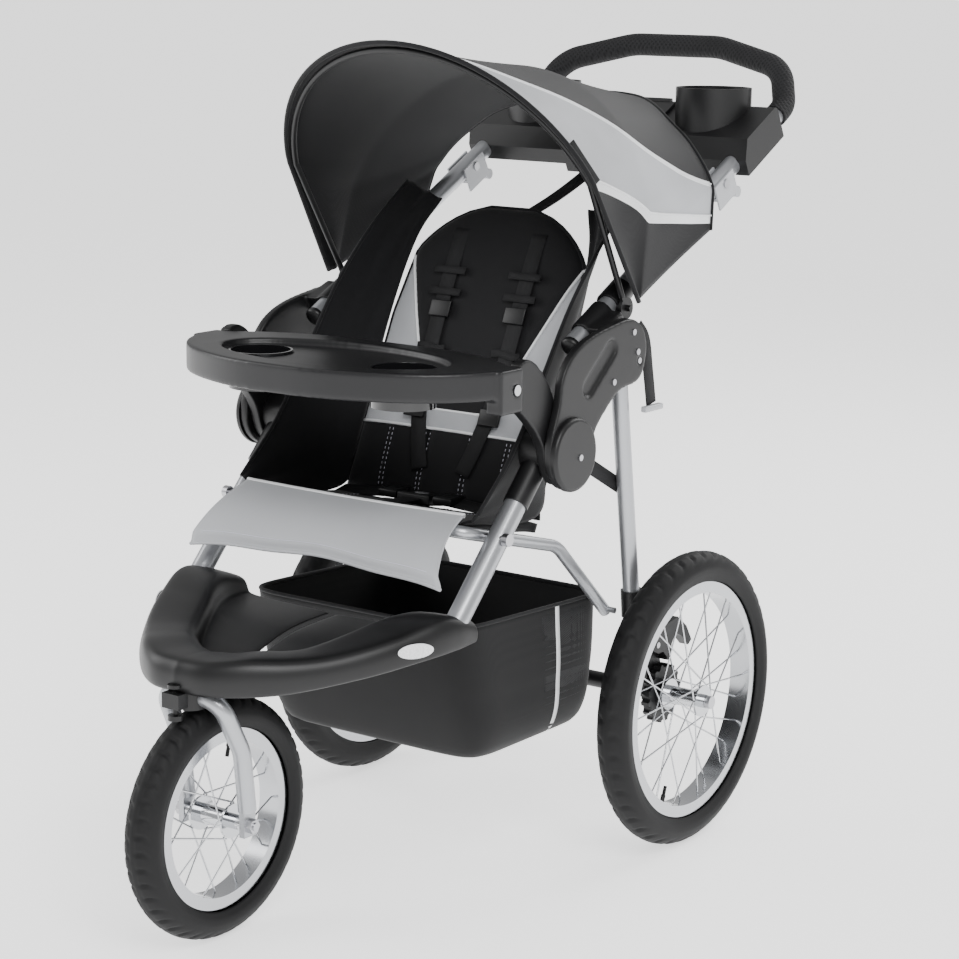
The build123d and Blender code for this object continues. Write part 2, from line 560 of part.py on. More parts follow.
def on_deck(x0, x1, u0, u1, n0, n1):
    """A block in the tray's own tilted frame: u runs up the handle, n out of it."""
    return tilt * box_between(x0, x1, u0, u1, n0, n1)


def deck_block(margin, low):
    """The deck's body, with a sloping front, drawn in by a margin and reaching down to low."""
    half = DECK_HALF - margin
    top = DECK_HIGH - margin
    outline = [(-half, low), (half, low), (half, top), (-half + DECK_SLOPE, top), (-half, top - 1.6 * DECK_SLOPE)]
    return tilt * plate_x(outline, -TRAY_HALF_X + margin, TRAY_HALF_X - margin)


outer_deck = deck_block(0, DECK_LOW)
outer_deck = fillet(outer_deck.edges().filter_by(Axis.X).group_by(Axis.Z)[-1], 8)
inner_deck = deck_block(DECK_WALL, DECK_LOW - 20)
bin_outer = on_deck(-BIN_HALF, BIN_HALF, -42, 44, BIN_LOW, DECK_HIGH - 1)
bin_inner = on_deck(-BIN_HALF + 3, BIN_HALF - 3, -39, 41, BIN_LOW + 3, DECK_HIGH + 20)
parent_tray = outer_deck - inner_deck + bin_outer - bin_inner
CUP_BASE_Z = 927.0
CUP_TOP_Z = 986.0
CUP_Y = 240.0
for s in (1, -1):
    cup_mid = (CUP_BASE_Z + CUP_TOP_Z) / 2
    parent_tray += Pos(s * CUP_X, CUP_Y, cup_mid) * Cylinder(CUP_OUT_R, CUP_TOP_Z - CUP_BASE_Z)
    parent_tray += Pos(s * CUP_X, CUP_Y, CUP_BASE_Z - 8) * Cylinder(CUP_IN_R + 2.5, 40)
    parent_tray -= Pos(s * CUP_X, CUP_Y, CUP_TOP_Z) * Cylinder(CUP_IN_R, 2 * (CUP_TOP_Z - CUP_BASE_Z + 24))
passage = tube_along([(TUBE_X, *on_handle(TRAY_MID_Y - 120)), (TUBE_X, *on_handle(TRAY_MID_Y + 92))], None,
                     HANDLE_TUBE_R + RUN_GAP)
tray_screw = rod_x(7, TUBE_X + HANDLE_TUBE_R - 4, TRAY_HALF_X - 1, on_handle(TRAY_MID_Y))
for s_cut, s_boss in zip(both(passage), both(tray_screw)):
    parent_tray = parent_tray + s_boss - s_cut
export("parent_tray", parent_tray)

LID_HINGE_U = 46.0
LID_T = 4.0
LID_HINGE_R = 3.0
lid = on_deck(-BIN_HALF + 1, BIN_HALF - 1, -43, 42, DECK_HIGH + BODY_GAP, DECK_HIGH + BODY_GAP + LID_T)
lid_barrel = Rotation(0, 90, 0) * Cylinder(LID_HINGE_R, 2 * BIN_HALF - 20)
lid += tilt * (Pos(0, LID_HINGE_U, DECK_HIGH + BODY_GAP + LID_HINGE_R) * lid_barrel)
lid += on_deck(-BIN_HALF + 10, BIN_HALF - 10, 40, LID_HINGE_U, DECK_HIGH + 3, DECK_HIGH + 5)
lid_gap = on_deck(-BIN_HALF, BIN_HALF, 42, 60, -200, DECK_HIGH + BODY_GAP)
lid -= lid_gap
export("parent_tray_lid", lid)

# -------------------------------------------------------------- fold latches
lever_tilt = Pos(0, *latch_at) * Rotation(HANDLE_SLOPE, 0, 0)


def lever_box(x0, x1, u0, u1, n0, n1):
    return lever_tilt * box_between(x0, x1, u0, u1, n0, n1)


HOOK_R = 7.5
LEVER_LOW = -26.0
lever = lever_box(TUBE_X - cheek_in - CHEEK_T, TUBE_X + cheek_in + CHEEK_T, -26, 24, LEVER_LOW, 9)
lever -= lever_box(TUBE_X - cheek_in, TUBE_X + cheek_in, -30, 30, LEVER_LOW + 4, 12)
lever -= lever_box(TUBE_X - cheek_in, TUBE_X + cheek_in, -30, -6, LEVER_LOW - 4, 12)
hook = Rotation(0, 90, 0) * Cylinder(HOOK_R, 2 * (cheek_in + CHEEK_T))
lever += lever_tilt * (Pos(TUBE_X, 24, LEVER_LOW - 1) * hook)
lever -= rod_x(LATCH_BOLT_R + RUN_GAP, TUBE_X - 30, TUBE_X + 30, latch_at)
export("fold_latch_right", lever)
export("fold_latch_left", mirrored(lever))

# -------------------------------------------------------------------- canopy
CLAMP_X = TUBE_X + HANDLE_TUBE_R + 5
CLAMP_PIN_R = 4.0
clamp = tube_along([(TUBE_X, *on_handle(-116)), (TUBE_X, *on_handle(-84))], None, HANDLE_TUBE_R + 4)
clamp += rod_x(9, TUBE_X, CLAMP_X + 1, CANOPY_PIVOT)
clamp -= tube_along([(TUBE_X, *on_handle(-240)), (TUBE_X, *on_handle(0))], None, HANDLE_TUBE_R + RUN_GAP)
clamp += rod_x(CLAMP_PIN_R, CLAMP_X, CLAMP_X + 12, CANOPY_PIVOT)
export("canopy_clamps", *both(clamp))


def in_bow_plane(x, s, angle):
    """A point of a canopy bow: across x, and s out from the canopy pivot."""
    return (x, *polar(CANOPY_PIVOT, s, angle))


BOW_DISC_T = 4.5
BOW_DISC_R = 14.0
FRONT_DISC_X = CLAMP_X + 1 + BODY_GAP
MID_DISC_X = FRONT_DISC_X + BOW_DISC_T + BODY_GAP
BOW_ROOM = CANOPY_T + BOW_R + SOFT_GAP
COVER_BASE_HALF = 250.0
COVER_HALF = 240.0
FRONT_SHOULDER = 196.0
FRONT_TOP = 386.0
MID_SHOULDER = 126.0
MID_TOP = 304.0
FRONT_BOW_TOP = FRONT_TOP - 15.0
MID_BOW_TOP = MID_TOP - BOW_ROOM - 1.0


def bow(disc_x, angle, shoulder, top):
    """A bow rod: a hub disc each side, straight legs and a round arch between them."""
    foot = (disc_x + BOW_DISC_T / 2, BOW_DISC_R + BOW_R)
    half = COVER_HALF - BOW_ROOM
    foot_at = in_bow_plane(*foot, angle)
    corner = in_bow_plane(half, shoulder, angle)
    corner_left = in_bow_plane(-half, shoulder, angle)
    leg = tube_along([foot_at, corner], None, BOW_R) + Pos(*corner) * Sphere(BOW_R)
    curve = ThreePointArc(corner, in_bow_plane(0, top, angle), corner_left)
    arch = sweep(Plane(Vector(*corner), z_dir=curve % 0) * Circle(BOW_R), path=curve)
    disc = rod_x(BOW_DISC_R, disc_x, disc_x + BOW_DISC_T, CANOPY_PIVOT)
    neck = plate_x([polar(CANOPY_PIVOT, 6, angle + 40), polar(CANOPY_PIVOT, 26, angle + 7),
                    polar(CANOPY_PIVOT, 26, angle - 7), polar(CANOPY_PIVOT, 6, angle - 40)],
                   disc_x, disc_x + BOW_DISC_T)
    disc = disc + neck - rod_x(CLAMP_PIN_R + RUN_GAP, disc_x - 1, disc_x + BOW_DISC_T + 1, CANOPY_PIVOT)
    side = leg + disc
    return arch + side + mirrored(side)


front_bow_angle = FRONT_BOW_ANGLE - BOW_SETBACK
export("canopy_front_bow", bow(FRONT_DISC_X, front_bow_angle, FRONT_SHOULDER - 8, FRONT_BOW_TOP))
export("canopy_mid_bow", bow(MID_DISC_X, MID_BOW_ANGLE, MID_SHOULDER, MID_BOW_TOP))


def arch_face(origin, angle, base, shoulder, top):
    """A filled arch in the plane that holds the X direction and the given angle.

    base and shoulder are (half width, distance) pairs and top is a distance,
    all measured from the (y, z) origin.
    """
    base_pt = (base[0], *polar(origin, base[1], angle))
    shoulder_pt = (shoulder[0], *polar(origin, shoulder[1], angle))
    top_pt = (0, *polar(origin, top, angle))
    base_left = (-base[0], *base_pt[1:])
    shoulder_left = (-shoulder[0], *shoulder_pt[1:])
    edges = [Line(base_left, base_pt), Line(base_pt, shoulder_pt),
             ThreePointArc(shoulder_pt, top_pt, shoulder_left), Line(shoulder_left, base_left)]
    return make_face(edges)


CANOPY_REAR = (146.0, 836.0)
CANOPY_REAR_ANGLE = 71.6
REAR_HALF = 228.0
REAR_TOP = 148.0


def canopy_solid(skin, drop):
    """The space under the canopy, a skin inside its cloth and a drop below its hem."""
    front = arch_face(CANOPY_PIVOT, FRONT_BOW_ANGLE, (COVER_BASE_HALF - skin, 12 - drop),
                      (COVER_HALF - skin, FRONT_SHOULDER), FRONT_TOP - skin)
    mid = arch_face(CANOPY_PIVOT, MID_BOW_ANGLE, (COVER_BASE_HALF - 3 - skin, 14 - drop),
                    (COVER_HALF - skin, MID_SHOULDER), MID_TOP - skin)
    rear = arch_face(CANOPY_REAR, CANOPY_REAR_ANGLE, (REAR_HALF + 9 - skin, -drop),
                     (REAR_HALF - skin, 50), REAR_TOP - skin)
    return loft([front, mid], ruled=True) + loft([mid, rear], ruled=True)


export("canopy_cover", canopy_solid(0, 0) - canopy_solid(CANOPY_T, CANOPY_T))

# ----------------------------------------------------------------- rear frame
LEG_LOW = (-55.0, 312.0)
leg_top = (LEG_X, LEG_PIVOT[0] - 1.5, LEG_PIVOT[1] + 11)
leg = tube_along([leg_top, (LEG_X, *LEG_LOW)], None, LEG_R, LEG_R - TUBE_WALL)
leg -= rod_x(BOLT_R + RUN_GAP, LEG_X - 20, LEG_X + 20, LEG_PIVOT)
export("rear_legs", *both(leg))

AXLE_TUBE_R = 11.0
BRACKET_IN = LEG_X - 6
BRACKET_OUT = LEG_X + 6
BRAKE_PIVOT = (-22.0, 268.0)
PEDAL_TRAVEL = 14.0    # degrees from free to locked
NOTCH_AT = (0.0, REAR_TYRE_R + NOTCH_CENTRE_R)
bracket_side = [(-74, 300), (-40, 330), (-26, 322), (-2, 270), (16, 214), (17, 190), (0, 179), (-17, 188),
                (-22, 214), (-34, 260), (-66, 282)]
bracket = plate_x(bracket_side, BRACKET_IN, BRACKET_OUT)
bracket += tube_along([(LEG_X, LEG_LOW[0] - 4, LEG_LOW[1] + 36), (LEG_X, *LEG_LOW)], None, LEG_R + 3.5)
bracket -= tube_along([leg_top, (LEG_X, *LEG_LOW)], None, LEG_R + RUN_GAP)
bracket += mirrored(bracket) + rod_x(AXLE_TUBE_R, -BRACKET_IN - 1, BRACKET_IN + 1, (0, REAR_TYRE_R))
bracket -= rod_x(AXLE_R + RUN_GAP, -BRACKET_OUT - 5, BRACKET_OUT + 5, (0, REAR_TYRE_R))
export("rear_axle_beam", bracket)

PEDAL_IN = BRACKET_OUT + BODY_GAP
PEDAL_OUT = PEDAL_IN + 14
HUB_END = TRACK_HALF + REAR_HUB_HALF + REAR_BOSS
AXLE_CAP_T = 7.0
rear_axle = rod_x(AXLE_R, -HUB_END - 2, HUB_END + 2, (0, REAR_TYRE_R))
for cap_x in (HUB_END + BODY_GAP, -HUB_END - BODY_GAP - AXLE_CAP_T):
    rear_axle += rod_x(8.5, cap_x, cap_x + AXLE_CAP_T, (0, REAR_TYRE_R))
brake_pin = rod_x(BOLT_R, BRACKET_OUT, PEDAL_OUT + 1, BRAKE_PIVOT)
export("rear_axle", rear_axle, *both(brake_pin))

PAWL_R = 3.0


def turned(point, centre, angle):
    """A (y, z) point turned about another one by an angle."""
    reach = hypot(point[0] - centre[0], point[1] - centre[1])
    start = degrees(atan2(point[1] - centre[1], point[0] - centre[0]))
    return polar(centre, reach, start + angle)


pawl_at = turned(NOTCH_AT, BRAKE_PIVOT, PEDAL_TRAVEL)
pedal_side = [(-34, 262), (-28, 280), (0, 292), (27, 297), (50, 280), (64, 258), (56, 252), (38, 268), (22, 276),
              (13, 262), (10, 246), (2, 246.5), (-8, 256), (-20, 256)]
pedal = plate_x(pedal_side, PEDAL_IN, PEDAL_OUT)
pedal += rod_x(PAWL_R, PEDAL_IN, DRUM_X + DRUM_W / 2, pawl_at)
pedal -= rod_x(BOLT_R + RUN_GAP, PEDAL_IN - 1, PEDAL_OUT + 1, BRAKE_PIVOT)
export("brake_pedal_right", pedal)
export("brake_pedal_left", mirrored(pedal))

# ------------------------------------------------------------------ seat link
LINK_BEND = (-188.0, 425.0)
LINK_FRONT = (-386.0, 477.0)
link_right = [(LINK_X, *STRUT_END), (LINK_X, *LINK_BEND), (LINK_X, *LINK_FRONT)]
link_points = link_right + [(-x, y, z) for x, y, z in reversed(link_right)]
link_radii = [60, 20, 20, 60]
link = tube_along(link_points, link_radii, LINK_R, LINK_R - TUBE_WALL)
for bolt_x in (LINK_X, -LINK_X):
    link -= rod_x(BOLT_R + RUN_GAP, bolt_x - 20, bolt_x + 20, LINK_PIVOT)
end_stud = rod_x(BOLT_R, LINK_X, LEG_X - LEG_R - HEAD_T - BODY_GAP, (STRUT_END[0] - 4, STRUT_END[1] + 4))
link = link + end_stud + mirrored(end_stud)
export("seat_link_tube", link)

# ----------------------------------------------------------------- soft goods
CREASE = (-190.0, 452.0)
HINGE_ROD_R = 4.0
HINGE_ROD_HALF = 150.0
SEAT_TOP = (-30.0, 832.0)
back_angle = degrees(atan2(SEAT_TOP[1] - CREASE[1], SEAT_TOP[0] - CREASE[0]))
back_len = hypot(SEAT_TOP[1] - CREASE[1], SEAT_TOP[0] - CREASE[0])

base_front = LINK_FRONT[0] + LINK_R + SOFT_GAP
base_top_rear = (CREASE[0] - 10, CREASE[1] + 4.5)
base_top_front = (base_front, 486.0)
base_side = [(base_front, 462), (CREASE[0] + 6, 418), (CREASE[0] + 6, CREASE[1] - 6), base_top_rear, base_top_front]
seat_base = plate_x(base_side, -SEAT_HALF, SEAT_HALF)
seat_base -= rod_x(HINGE_ROD_R + BODY_GAP, -HINGE_ROD_HALF - BODY_GAP, HINGE_ROD_HALF + BODY_GAP, CREASE)
export("seat_base", seat_base)

back_plane = Plane((0, *CREASE), x_dir=(1, 0, 0), z_dir=(0, -sin(radians(back_angle)), cos(radians(back_angle))))
back_shape = [(-SEAT_HALF + 2, 1), (SEAT_HALF - 2, 1), (150, 250), (136, 340)]
back_edges = [Line(back_shape[0], back_shape[1]), Line(back_shape[1], back_shape[2]), Line(back_shape[2], back_shape[3]),
              ThreePointArc(back_shape[3], (0, back_len), (-136, 340)), Line((-136, 340), (-150, 250)),
              Line((-150, 250), back_shape[0])]
seat_back = extrude(back_plane * make_face(back_edges), PAD_T)
seat_back += rod_x(HINGE_ROD_R, -HINGE_ROD_HALF, HINGE_ROD_HALF, CREASE)
export("seat_back", seat_back)

flap_top = (-380.0, 487.6)
flap_low = (-462.0, 424.0)
flap = plate_x([flap_top, (flap_top[0] - 7, flap_top[1] + 5), (flap_low[0] - 8, flap_low[1] + 6), flap_low], -176, 176)
flap -= tube_along(link_points, link_radii, LINK_R + SOFT_GAP)
export("calf_flap", flap)

basket_side = [(-377, 352), (-329, 162), (-83, 166), (-56, 338)]


def basket_profile(inset, lift):
    """The basket's side outline, drawn in by an inset and open above by a lift."""
    front_top, front_low, rear_low, rear_top = basket_side
    return [(front_top[0] + inset, front_top[1] + lift), (front_low[0] + inset, front_low[1] + inset),
            (rear_low[0] - inset, rear_low[1] + inset), (rear_top[0] - inset, rear_top[1] + lift)]


basket = plate_x(basket_profile(0, 0), -BASKET_HALF, BASKET_HALF)
basket -= plate_x(basket_profile(BASKET_T, 0.01), -BASKET_HALF + BASKET_T, BASKET_HALF - BASKET_T)
basket -= plate_x([(-385, 353), (-200, 330), (-50, 339), (-50, 400), (-385, 400)], -200, 200)
export("storage_basket", basket)

# the cloth wings between the seat and the side tubes
WING_X = SEAT_HALF + SOFT_GAP
WING_T = 2.5
wing_side = [(-352, 486), (-262, 580), (-150, 690), (-62, 756), (-50, 742), (-84, 660), (-176, 470), (-200, 446)]
wing = plate_x(wing_side, WING_X, WING_X + WING_T)
export("seat_wings", *both(wing))

# --------------------------------------------------------------------- straps
def on_back(x0, x1, s0, s1, n0, n1):
    """A block laid along the seat back: s runs up it, n out of its face."""
    return back_plane * box_between(x0, x1, s0, s1, n0, n1)


base_tilt = atan2(base_top_front[1] - base_top_rear[1], base_top_rear[0] - base_top_front[0])
base_plane = Plane((0, *base_top_rear), x_dir=(1, 0, 0), z_dir=(0, sin(base_tilt), cos(base_tilt)))


def on_base(x0, x1, s0, s1, n0, n1):
    """A block laid on the seat base: s runs forwards from its rear edge, n up from it."""
    return base_plane * box_between(x0, x1, -s1, -s0, n0, n1)


SHOULDER_X = 62.0
shoulder = on_back(SHOULDER_X - WEB_W / 2, SHOULDER_X + WEB_W / 2, 60, 330, PAD_T + SOFT_GAP, PAD_T + SOFT_GAP + WEB_T)
export("shoulder_straps", *both(shoulder))

BUCKLE_S = 34.0
BUCKLE_HALF = 26.0
BUCKLE_LONG = 40.0
BUCKLE_T = 14.0
PUSH_R = 9.0
PUSH_TRAVEL = 2.0
buckle_top = SOFT_GAP + BUCKLE_T
buckle = on_base(-BUCKLE_HALF, BUCKLE_HALF, BUCKLE_S - BUCKLE_LONG / 2, BUCKLE_S + BUCKLE_LONG / 2, SOFT_GAP, buckle_top)
buckle = fillet(buckle.edges(), 3)
buckle -= base_plane * (Pos(0, -BUCKLE_S, buckle_top) * Cylinder(PUSH_R + 0.3, 10))
export("harness_buckle", buckle)
export("buckle_button", base_plane * (Pos(0, -BUCKLE_S, buckle_top - 0.8) * Cylinder(PUSH_R, 3.6)))

lap = on_base(BUCKLE_HALF + BODY_GAP, SEAT_HALF - 8, BUCKLE_S - WEB_W / 2, BUCKLE_S + WEB_W / 2,
              SOFT_GAP, SOFT_GAP + WEB_T)
crotch_s = BUCKLE_S + BUCKLE_LONG / 2 + BODY_GAP
crotch = on_base(-WEB_W / 2, WEB_W / 2, crotch_s, crotch_s + 60, SOFT_GAP, SOFT_GAP + WEB_T)
export("lap_straps", *both(lap), crotch)

RECLINE_T = 2.4
recline_low = back_plane.from_local_coords(Vector(0, back_len - 22, -SOFT_GAP - RECLINE_T))
recline_high = tilt * Pos(0, -DECK_HALF - SOFT_GAP, -4)
low_yz = (recline_low.Y, recline_low.Z)
high_yz = (recline_high.position.Y, recline_high.position.Z)
recline = plate_x([low_yz, (low_yz[0], low_yz[1] - RECLINE_T), (high_yz[0], high_yz[1] - RECLINE_T), high_yz],
                  -WEB_W / 2, WEB_W / 2)
export("recline_strap", recline)

web_front = (HINGE[0] + SOCKET_DISC_R, HINGE[1] + 14)
web_rear = (-72.0, 497.0)
web_drop = (-11.0, -19.0)
leg_web_out = LEG_X - LEG_R - SOFT_GAP
leg_web = plate_x([web_front, (web_front[0] + 4, web_front[1] + web_drop[1]),
                   (web_rear[0] + web_drop[0], web_rear[1] + web_drop[1]), web_rear],
                  leg_web_out - WEB_T, leg_web_out)
export("leg_limit_straps", *both(leg_web))

LOCK_WEB_X = PLATE_IN - BODY_GAP - WEB_T
lock_side = [(-100, 704), (-84, 706), (-66, 676), (-46, 600), (-68, 596), (-86, 664), (-102, 694)]
lock_strap = plate_x(lock_side, LOCK_WEB_X, LOCK_WEB_X + WEB_T)
lock_end = box_between(LOCK_WEB_X - 3, LOCK_WEB_X + 5, -78, -36, 588, 595.5)
export("fold_lock_strap", lock_strap, lock_end)

print(len(WRITTEN), "nodes")
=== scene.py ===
import math

import bpy
from mathutils import Matrix, Vector


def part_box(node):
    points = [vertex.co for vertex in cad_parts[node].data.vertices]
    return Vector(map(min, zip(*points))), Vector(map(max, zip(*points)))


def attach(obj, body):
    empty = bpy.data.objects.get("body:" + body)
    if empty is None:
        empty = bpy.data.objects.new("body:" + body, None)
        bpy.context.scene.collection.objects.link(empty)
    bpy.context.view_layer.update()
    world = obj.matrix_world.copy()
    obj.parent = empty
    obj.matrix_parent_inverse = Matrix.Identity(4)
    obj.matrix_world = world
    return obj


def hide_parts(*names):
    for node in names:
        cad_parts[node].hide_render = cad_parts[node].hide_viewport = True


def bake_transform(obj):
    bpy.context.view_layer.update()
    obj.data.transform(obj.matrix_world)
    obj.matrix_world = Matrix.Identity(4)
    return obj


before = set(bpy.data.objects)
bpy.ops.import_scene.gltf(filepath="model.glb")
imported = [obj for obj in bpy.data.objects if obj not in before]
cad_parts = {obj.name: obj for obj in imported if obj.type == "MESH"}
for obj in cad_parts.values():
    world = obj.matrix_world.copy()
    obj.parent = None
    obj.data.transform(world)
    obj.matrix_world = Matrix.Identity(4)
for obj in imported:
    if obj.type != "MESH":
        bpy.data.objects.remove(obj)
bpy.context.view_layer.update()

# Lengths below are in millimetres, with y measured from the rear axle, the way
# a maker would mark out the stroller.  at() turns them into the shared frame.
axle_low, axle_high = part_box("rear_axle")
AXLE_Y = (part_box("right_rear_hub")[0][1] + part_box("right_rear_hub")[1][1]) / 2
HINGE = (-258.0, 562.0)
CREASE = (-190.0, 452.0)
SEAT_TOP = (-30.0, 832.0)
CANOPY_PIVOT = (-108.0, 725.0)
CANOPY_REAR = (146.0, 836.0)
HANDLE_SLOPE = math.tan(math.radians(28))


def at(x, y, z):
    return Vector((x / 1000, y / 1000 + AXLE_Y, z / 1000))


def polar(origin, distance, degrees):
    a = math.radians(degrees)
    return origin[0] + distance * math.cos(a), origin[1] + distance * math.sin(a)


def mix(a, b, t):
    return a + (b - a) * t


def smooth(t):
    t = min(max(t, 0.0), 1.0)
    return t * t * (3 - 2 * t)


def along(points, t):
    """The value at t of a table of (t, value) pairs, joined by a smooth curve."""
    slopes = [(b[1] - a[1]) / (b[0] - a[0]) for a, b in zip(points, points[1:])]
    lean = [slopes[0]] + [(a + b) / 2 for a, b in zip(slopes, slopes[1:])] + [slopes[-1]]
    for i, ((t0, v0), (t1, v1)) in enumerate(zip(points, points[1:])):
        if t <= t1:
            span, k = t1 - t0, (t - t0) / (t1 - t0)
            return (v0 * (1 + 2 * k) * (1 - k) ** 2 + v1 * k * k * (3 - 2 * k)
                    + span * k * (1 - k) * (lean[i] * (1 - k) - lean[i + 1] * k))
    return points[-1][1]


# ------------------------------------------------------------- shader groups
def new_group(name, inputs, outputs):
    group = bpy.data.node_groups.new(name, "ShaderNodeTree")
    for label, kind, default in inputs:
        socket = group.interface.new_socket(label, in_out="INPUT", socket_type=kind)
        if default is not None:
            socket.default_value = default
    for label, kind in outputs:
        group.interface.new_socket(label, in_out="OUTPUT", socket_type=kind)
    return group, group.nodes.new("NodeGroupInput"), group.nodes.new("NodeGroupOutput")


def math_node(tree, operation, a, b=None, clamp=False):
    node = tree.nodes.new("ShaderNodeMath")
    node.operation = operation
    node.use_clamp = clamp
    for socket, value in zip(node.inputs, (a, b)):
        if value is None:
            continue
        if isinstance(value, (int, float)):
            socket.default_value = value
        else:
            tree.links.new(value, socket)
    return node.outputs[0]


def object_coords(tree):
    return tree.nodes.new("ShaderNodeTexCoord").outputs["Object"]


def noise_value(tree, vector, scale, detail=3.0):
    node = tree.nodes.new("ShaderNodeTexNoise")
    node.inputs["Detail"].default_value = detail
    tree.links.new(vector, node.inputs["Vector"])
    if isinstance(scale, (int, float)):
        node.inputs["Scale"].default_value = scale
    else:
        tree.links.new(scale, node.inputs["Scale"])
    return node.outputs["Fac"]


def spread_about_one(tree, value, amount):
    """value runs from 0 to 1: the result runs from 1 - amount to 1 + amount."""
    centred = math_node(tree, "SUBTRACT", value, 0.5)
    doubled = math_node(tree, "MULTIPLY", centred, 2.0)
    scaled = math_node(tree, "MULTIPLY", doubled, amount)
    return math_node(tree, "ADD", scaled, 1.0)


def tinted(tree, colour, factor):
    """A colour made lighter or darker by a factor about one."""
    node = tree.nodes.new("ShaderNodeVectorMath")
    node.operation = "SCALE"
    tree.links.new(colour, node.inputs[0])
    tree.links.new(factor, node.inputs["Scale"])
    return node.outputs["Vector"]


def build_surface_group(name, pattern):
    """Colour, roughness and height of a finish: pattern makes the fine height."""
    group, inside, outside = new_group(
        name,
        [("Color", "NodeSocketColor", (0.5, 0.5, 0.5, 1)), ("Roughness", "NodeSocketFloat", 0.5),
         ("Tone", "NodeSocketFloat", 0.1), ("Patch Scale", "NodeSocketFloat", 12.0),
         ("Fine Scale", "NodeSocketFloat", 900.0), ("Rough Spread", "NodeSocketFloat", 0.12)],
        [("Color", "NodeSocketColor"), ("Roughness", "NodeSocketFloat"), ("Height", "NodeSocketFloat")])
    coords = object_coords(group)
    patches = noise_value(group, coords, inside.outputs["Patch Scale"], 4.0)
    fine = pattern(group, coords, inside.outputs["Fine Scale"])
    tone = spread_about_one(group, patches, inside.outputs["Tone"])
    fine_tone = spread_about_one(group, fine, math_node(group, "MULTIPLY", inside.outputs["Tone"], 0.8))
    shade = math_node(group, "MULTIPLY", tone, fine_tone)
    group.links.new(tinted(group, inside.outputs["Color"], shade), outside.inputs["Color"])
    rough = spread_about_one(group, patches, inside.outputs["Rough Spread"])
    rough = math_node(group, "MULTIPLY", rough, inside.outputs["Roughness"], clamp=True)
    group.links.new(rough, outside.inputs["Roughness"])
    group.links.new(fine, outside.inputs["Height"])
    return group


def grain_pattern(tree, coords, scale):
    return noise_value(tree, coords, scale, 2.0)


def thread_pattern(tree, coords, scale):
    """Warp and weft: ridges along two crossing directions, whichever way the cloth faces."""
    parts = tree.nodes.new("ShaderNodeSeparateXYZ")
    tree.links.new(coords, parts.inputs[0])
    slope = math_node(tree, "ADD", parts.outputs["Y"], parts.outputs["Z"])
    waves = []
    for value in (parts.outputs["X"], slope):
        phase = math_node(tree, "MULTIPLY", value, scale)
        waves.append(math_node(tree, "SINE", phase))
    crossed = math_node(tree, "MULTIPLY", waves[0], waves[1])
    return math_node(tree, "ADD", math_node(tree, "MULTIPLY", crossed, 0.5), 0.5)


def braid_pattern(tree, coords, scale):
    """Slanted cords that cross, as in a woven grip sleeve."""
    parts = tree.nodes.new("ShaderNodeSeparateXYZ")
    tree.links.new(coords, parts.inputs[0])
    rise = math_node(tree, "MULTIPLY", math_node(tree, "ADD", parts.outputs["Y"], parts.outputs["Z"]), 0.8)
    waves = []
    for sign in (1.0, -1.0):
        slanted = math_node(tree, "ADD", parts.outputs["X"], math_node(tree, "MULTIPLY", rise, sign))
        waves.append(math_node(tree, "SINE", math_node(tree, "MULTIPLY", slanted, scale)))
    top = math_node(tree, "MAXIMUM", waves[0], waves[1])
    return math_node(tree, "ADD", math_node(tree, "MULTIPLY", top, 0.5), 0.5)


grain = build_surface_group("moulded_grain", grain_pattern)
threads = build_surface_group("woven_threads", thread_pattern)
braid = build_surface_group("braided_sleeve", braid_pattern)


def finish_material(name, group, colour, roughness, tone=0.1, patch=12.0, fine=900.0, bump=0.1,
                    metallic=0.0, coat=0.0, sheen=0.0, rough_spread=0.12, depth=0.0004, shine=0.5):
    """A material whose colour, roughness and fine relief come from a surface group."""
    material = bpy.data.materials.new(name)
    material.use_nodes = True
    tree = material.node_tree
    shader = tree.nodes["Principled BSDF"]
    surface = tree.nodes.new("ShaderNodeGroup")
    surface.node_tree = group
    surface.inputs["Color"].default_value = (*colour, 1)
    surface.inputs["Roughness"].default_value = roughness
    surface.inputs["Tone"].default_value = tone
    surface.inputs["Patch Scale"].default_value = patch
    surface.inputs["Fine Scale"].default_value = fine
    surface.inputs["Rough Spread"].default_value = rough_spread
    relief = tree.nodes.new("ShaderNodeBump")
    relief.inputs["Strength"].default_value = bump
    relief.inputs["Distance"].default_value = depth
    tree.links.new(surface.outputs["Height"], relief.inputs["Height"])
    tree.links.new(relief.outputs["Normal"], shader.inputs["Normal"])
    tree.links.new(surface.outputs["Color"], shader.inputs["Base Color"])
    tree.links.new(surface.outputs["Roughness"], shader.inputs["Roughness"])
    shader.inputs["Metallic"].default_value = metallic
    shader.inputs["Coat Weight"].default_value = coat
    shader.inputs["Specular IOR Level"].default_value = shine
    shader.inputs["Sheen Weight"].default_value = sheen
    return material


silver_paint = finish_material("silver_paint", grain, (0.42, 0.43, 0.45), 0.34, tone=0.05, fine=2500,
                               bump=0.06, metallic=0.75, coat=0.25, depth=0.0001)
black_plastic = finish_material("black_plastic", grain, (0.006, 0.006, 0.0065), 0.40, tone=0.15, fine=1600,
                                bump=0.25, depth=0.0002, shine=0.4)
tray_plastic = finish_material("tray_plastic", grain, (0.011, 0.011, 0.012), 0.36, tone=0.1, fine=1800,
                               bump=0.18, depth=0.0002, shine=0.4)
gloss_black = finish_material("gloss_black", grain, (0.008, 0.008, 0.009), 0.12, tone=0.1, fine=800,
                              bump=0.03, coat=0.5)
chrome = finish_material("chrome", grain, (0.58, 0.59, 0.61), 0.13, tone=0.03, fine=500, bump=0.03,
                         metallic=1.0, rough_spread=0.35, depth=0.0001)
polished_rim = finish_material("polished_rim", grain, (0.50, 0.51, 0.53), 0.20, tone=0.04, fine=700, bump=0.05,
                               metallic=1.0, rough_spread=0.3, depth=0.0001)
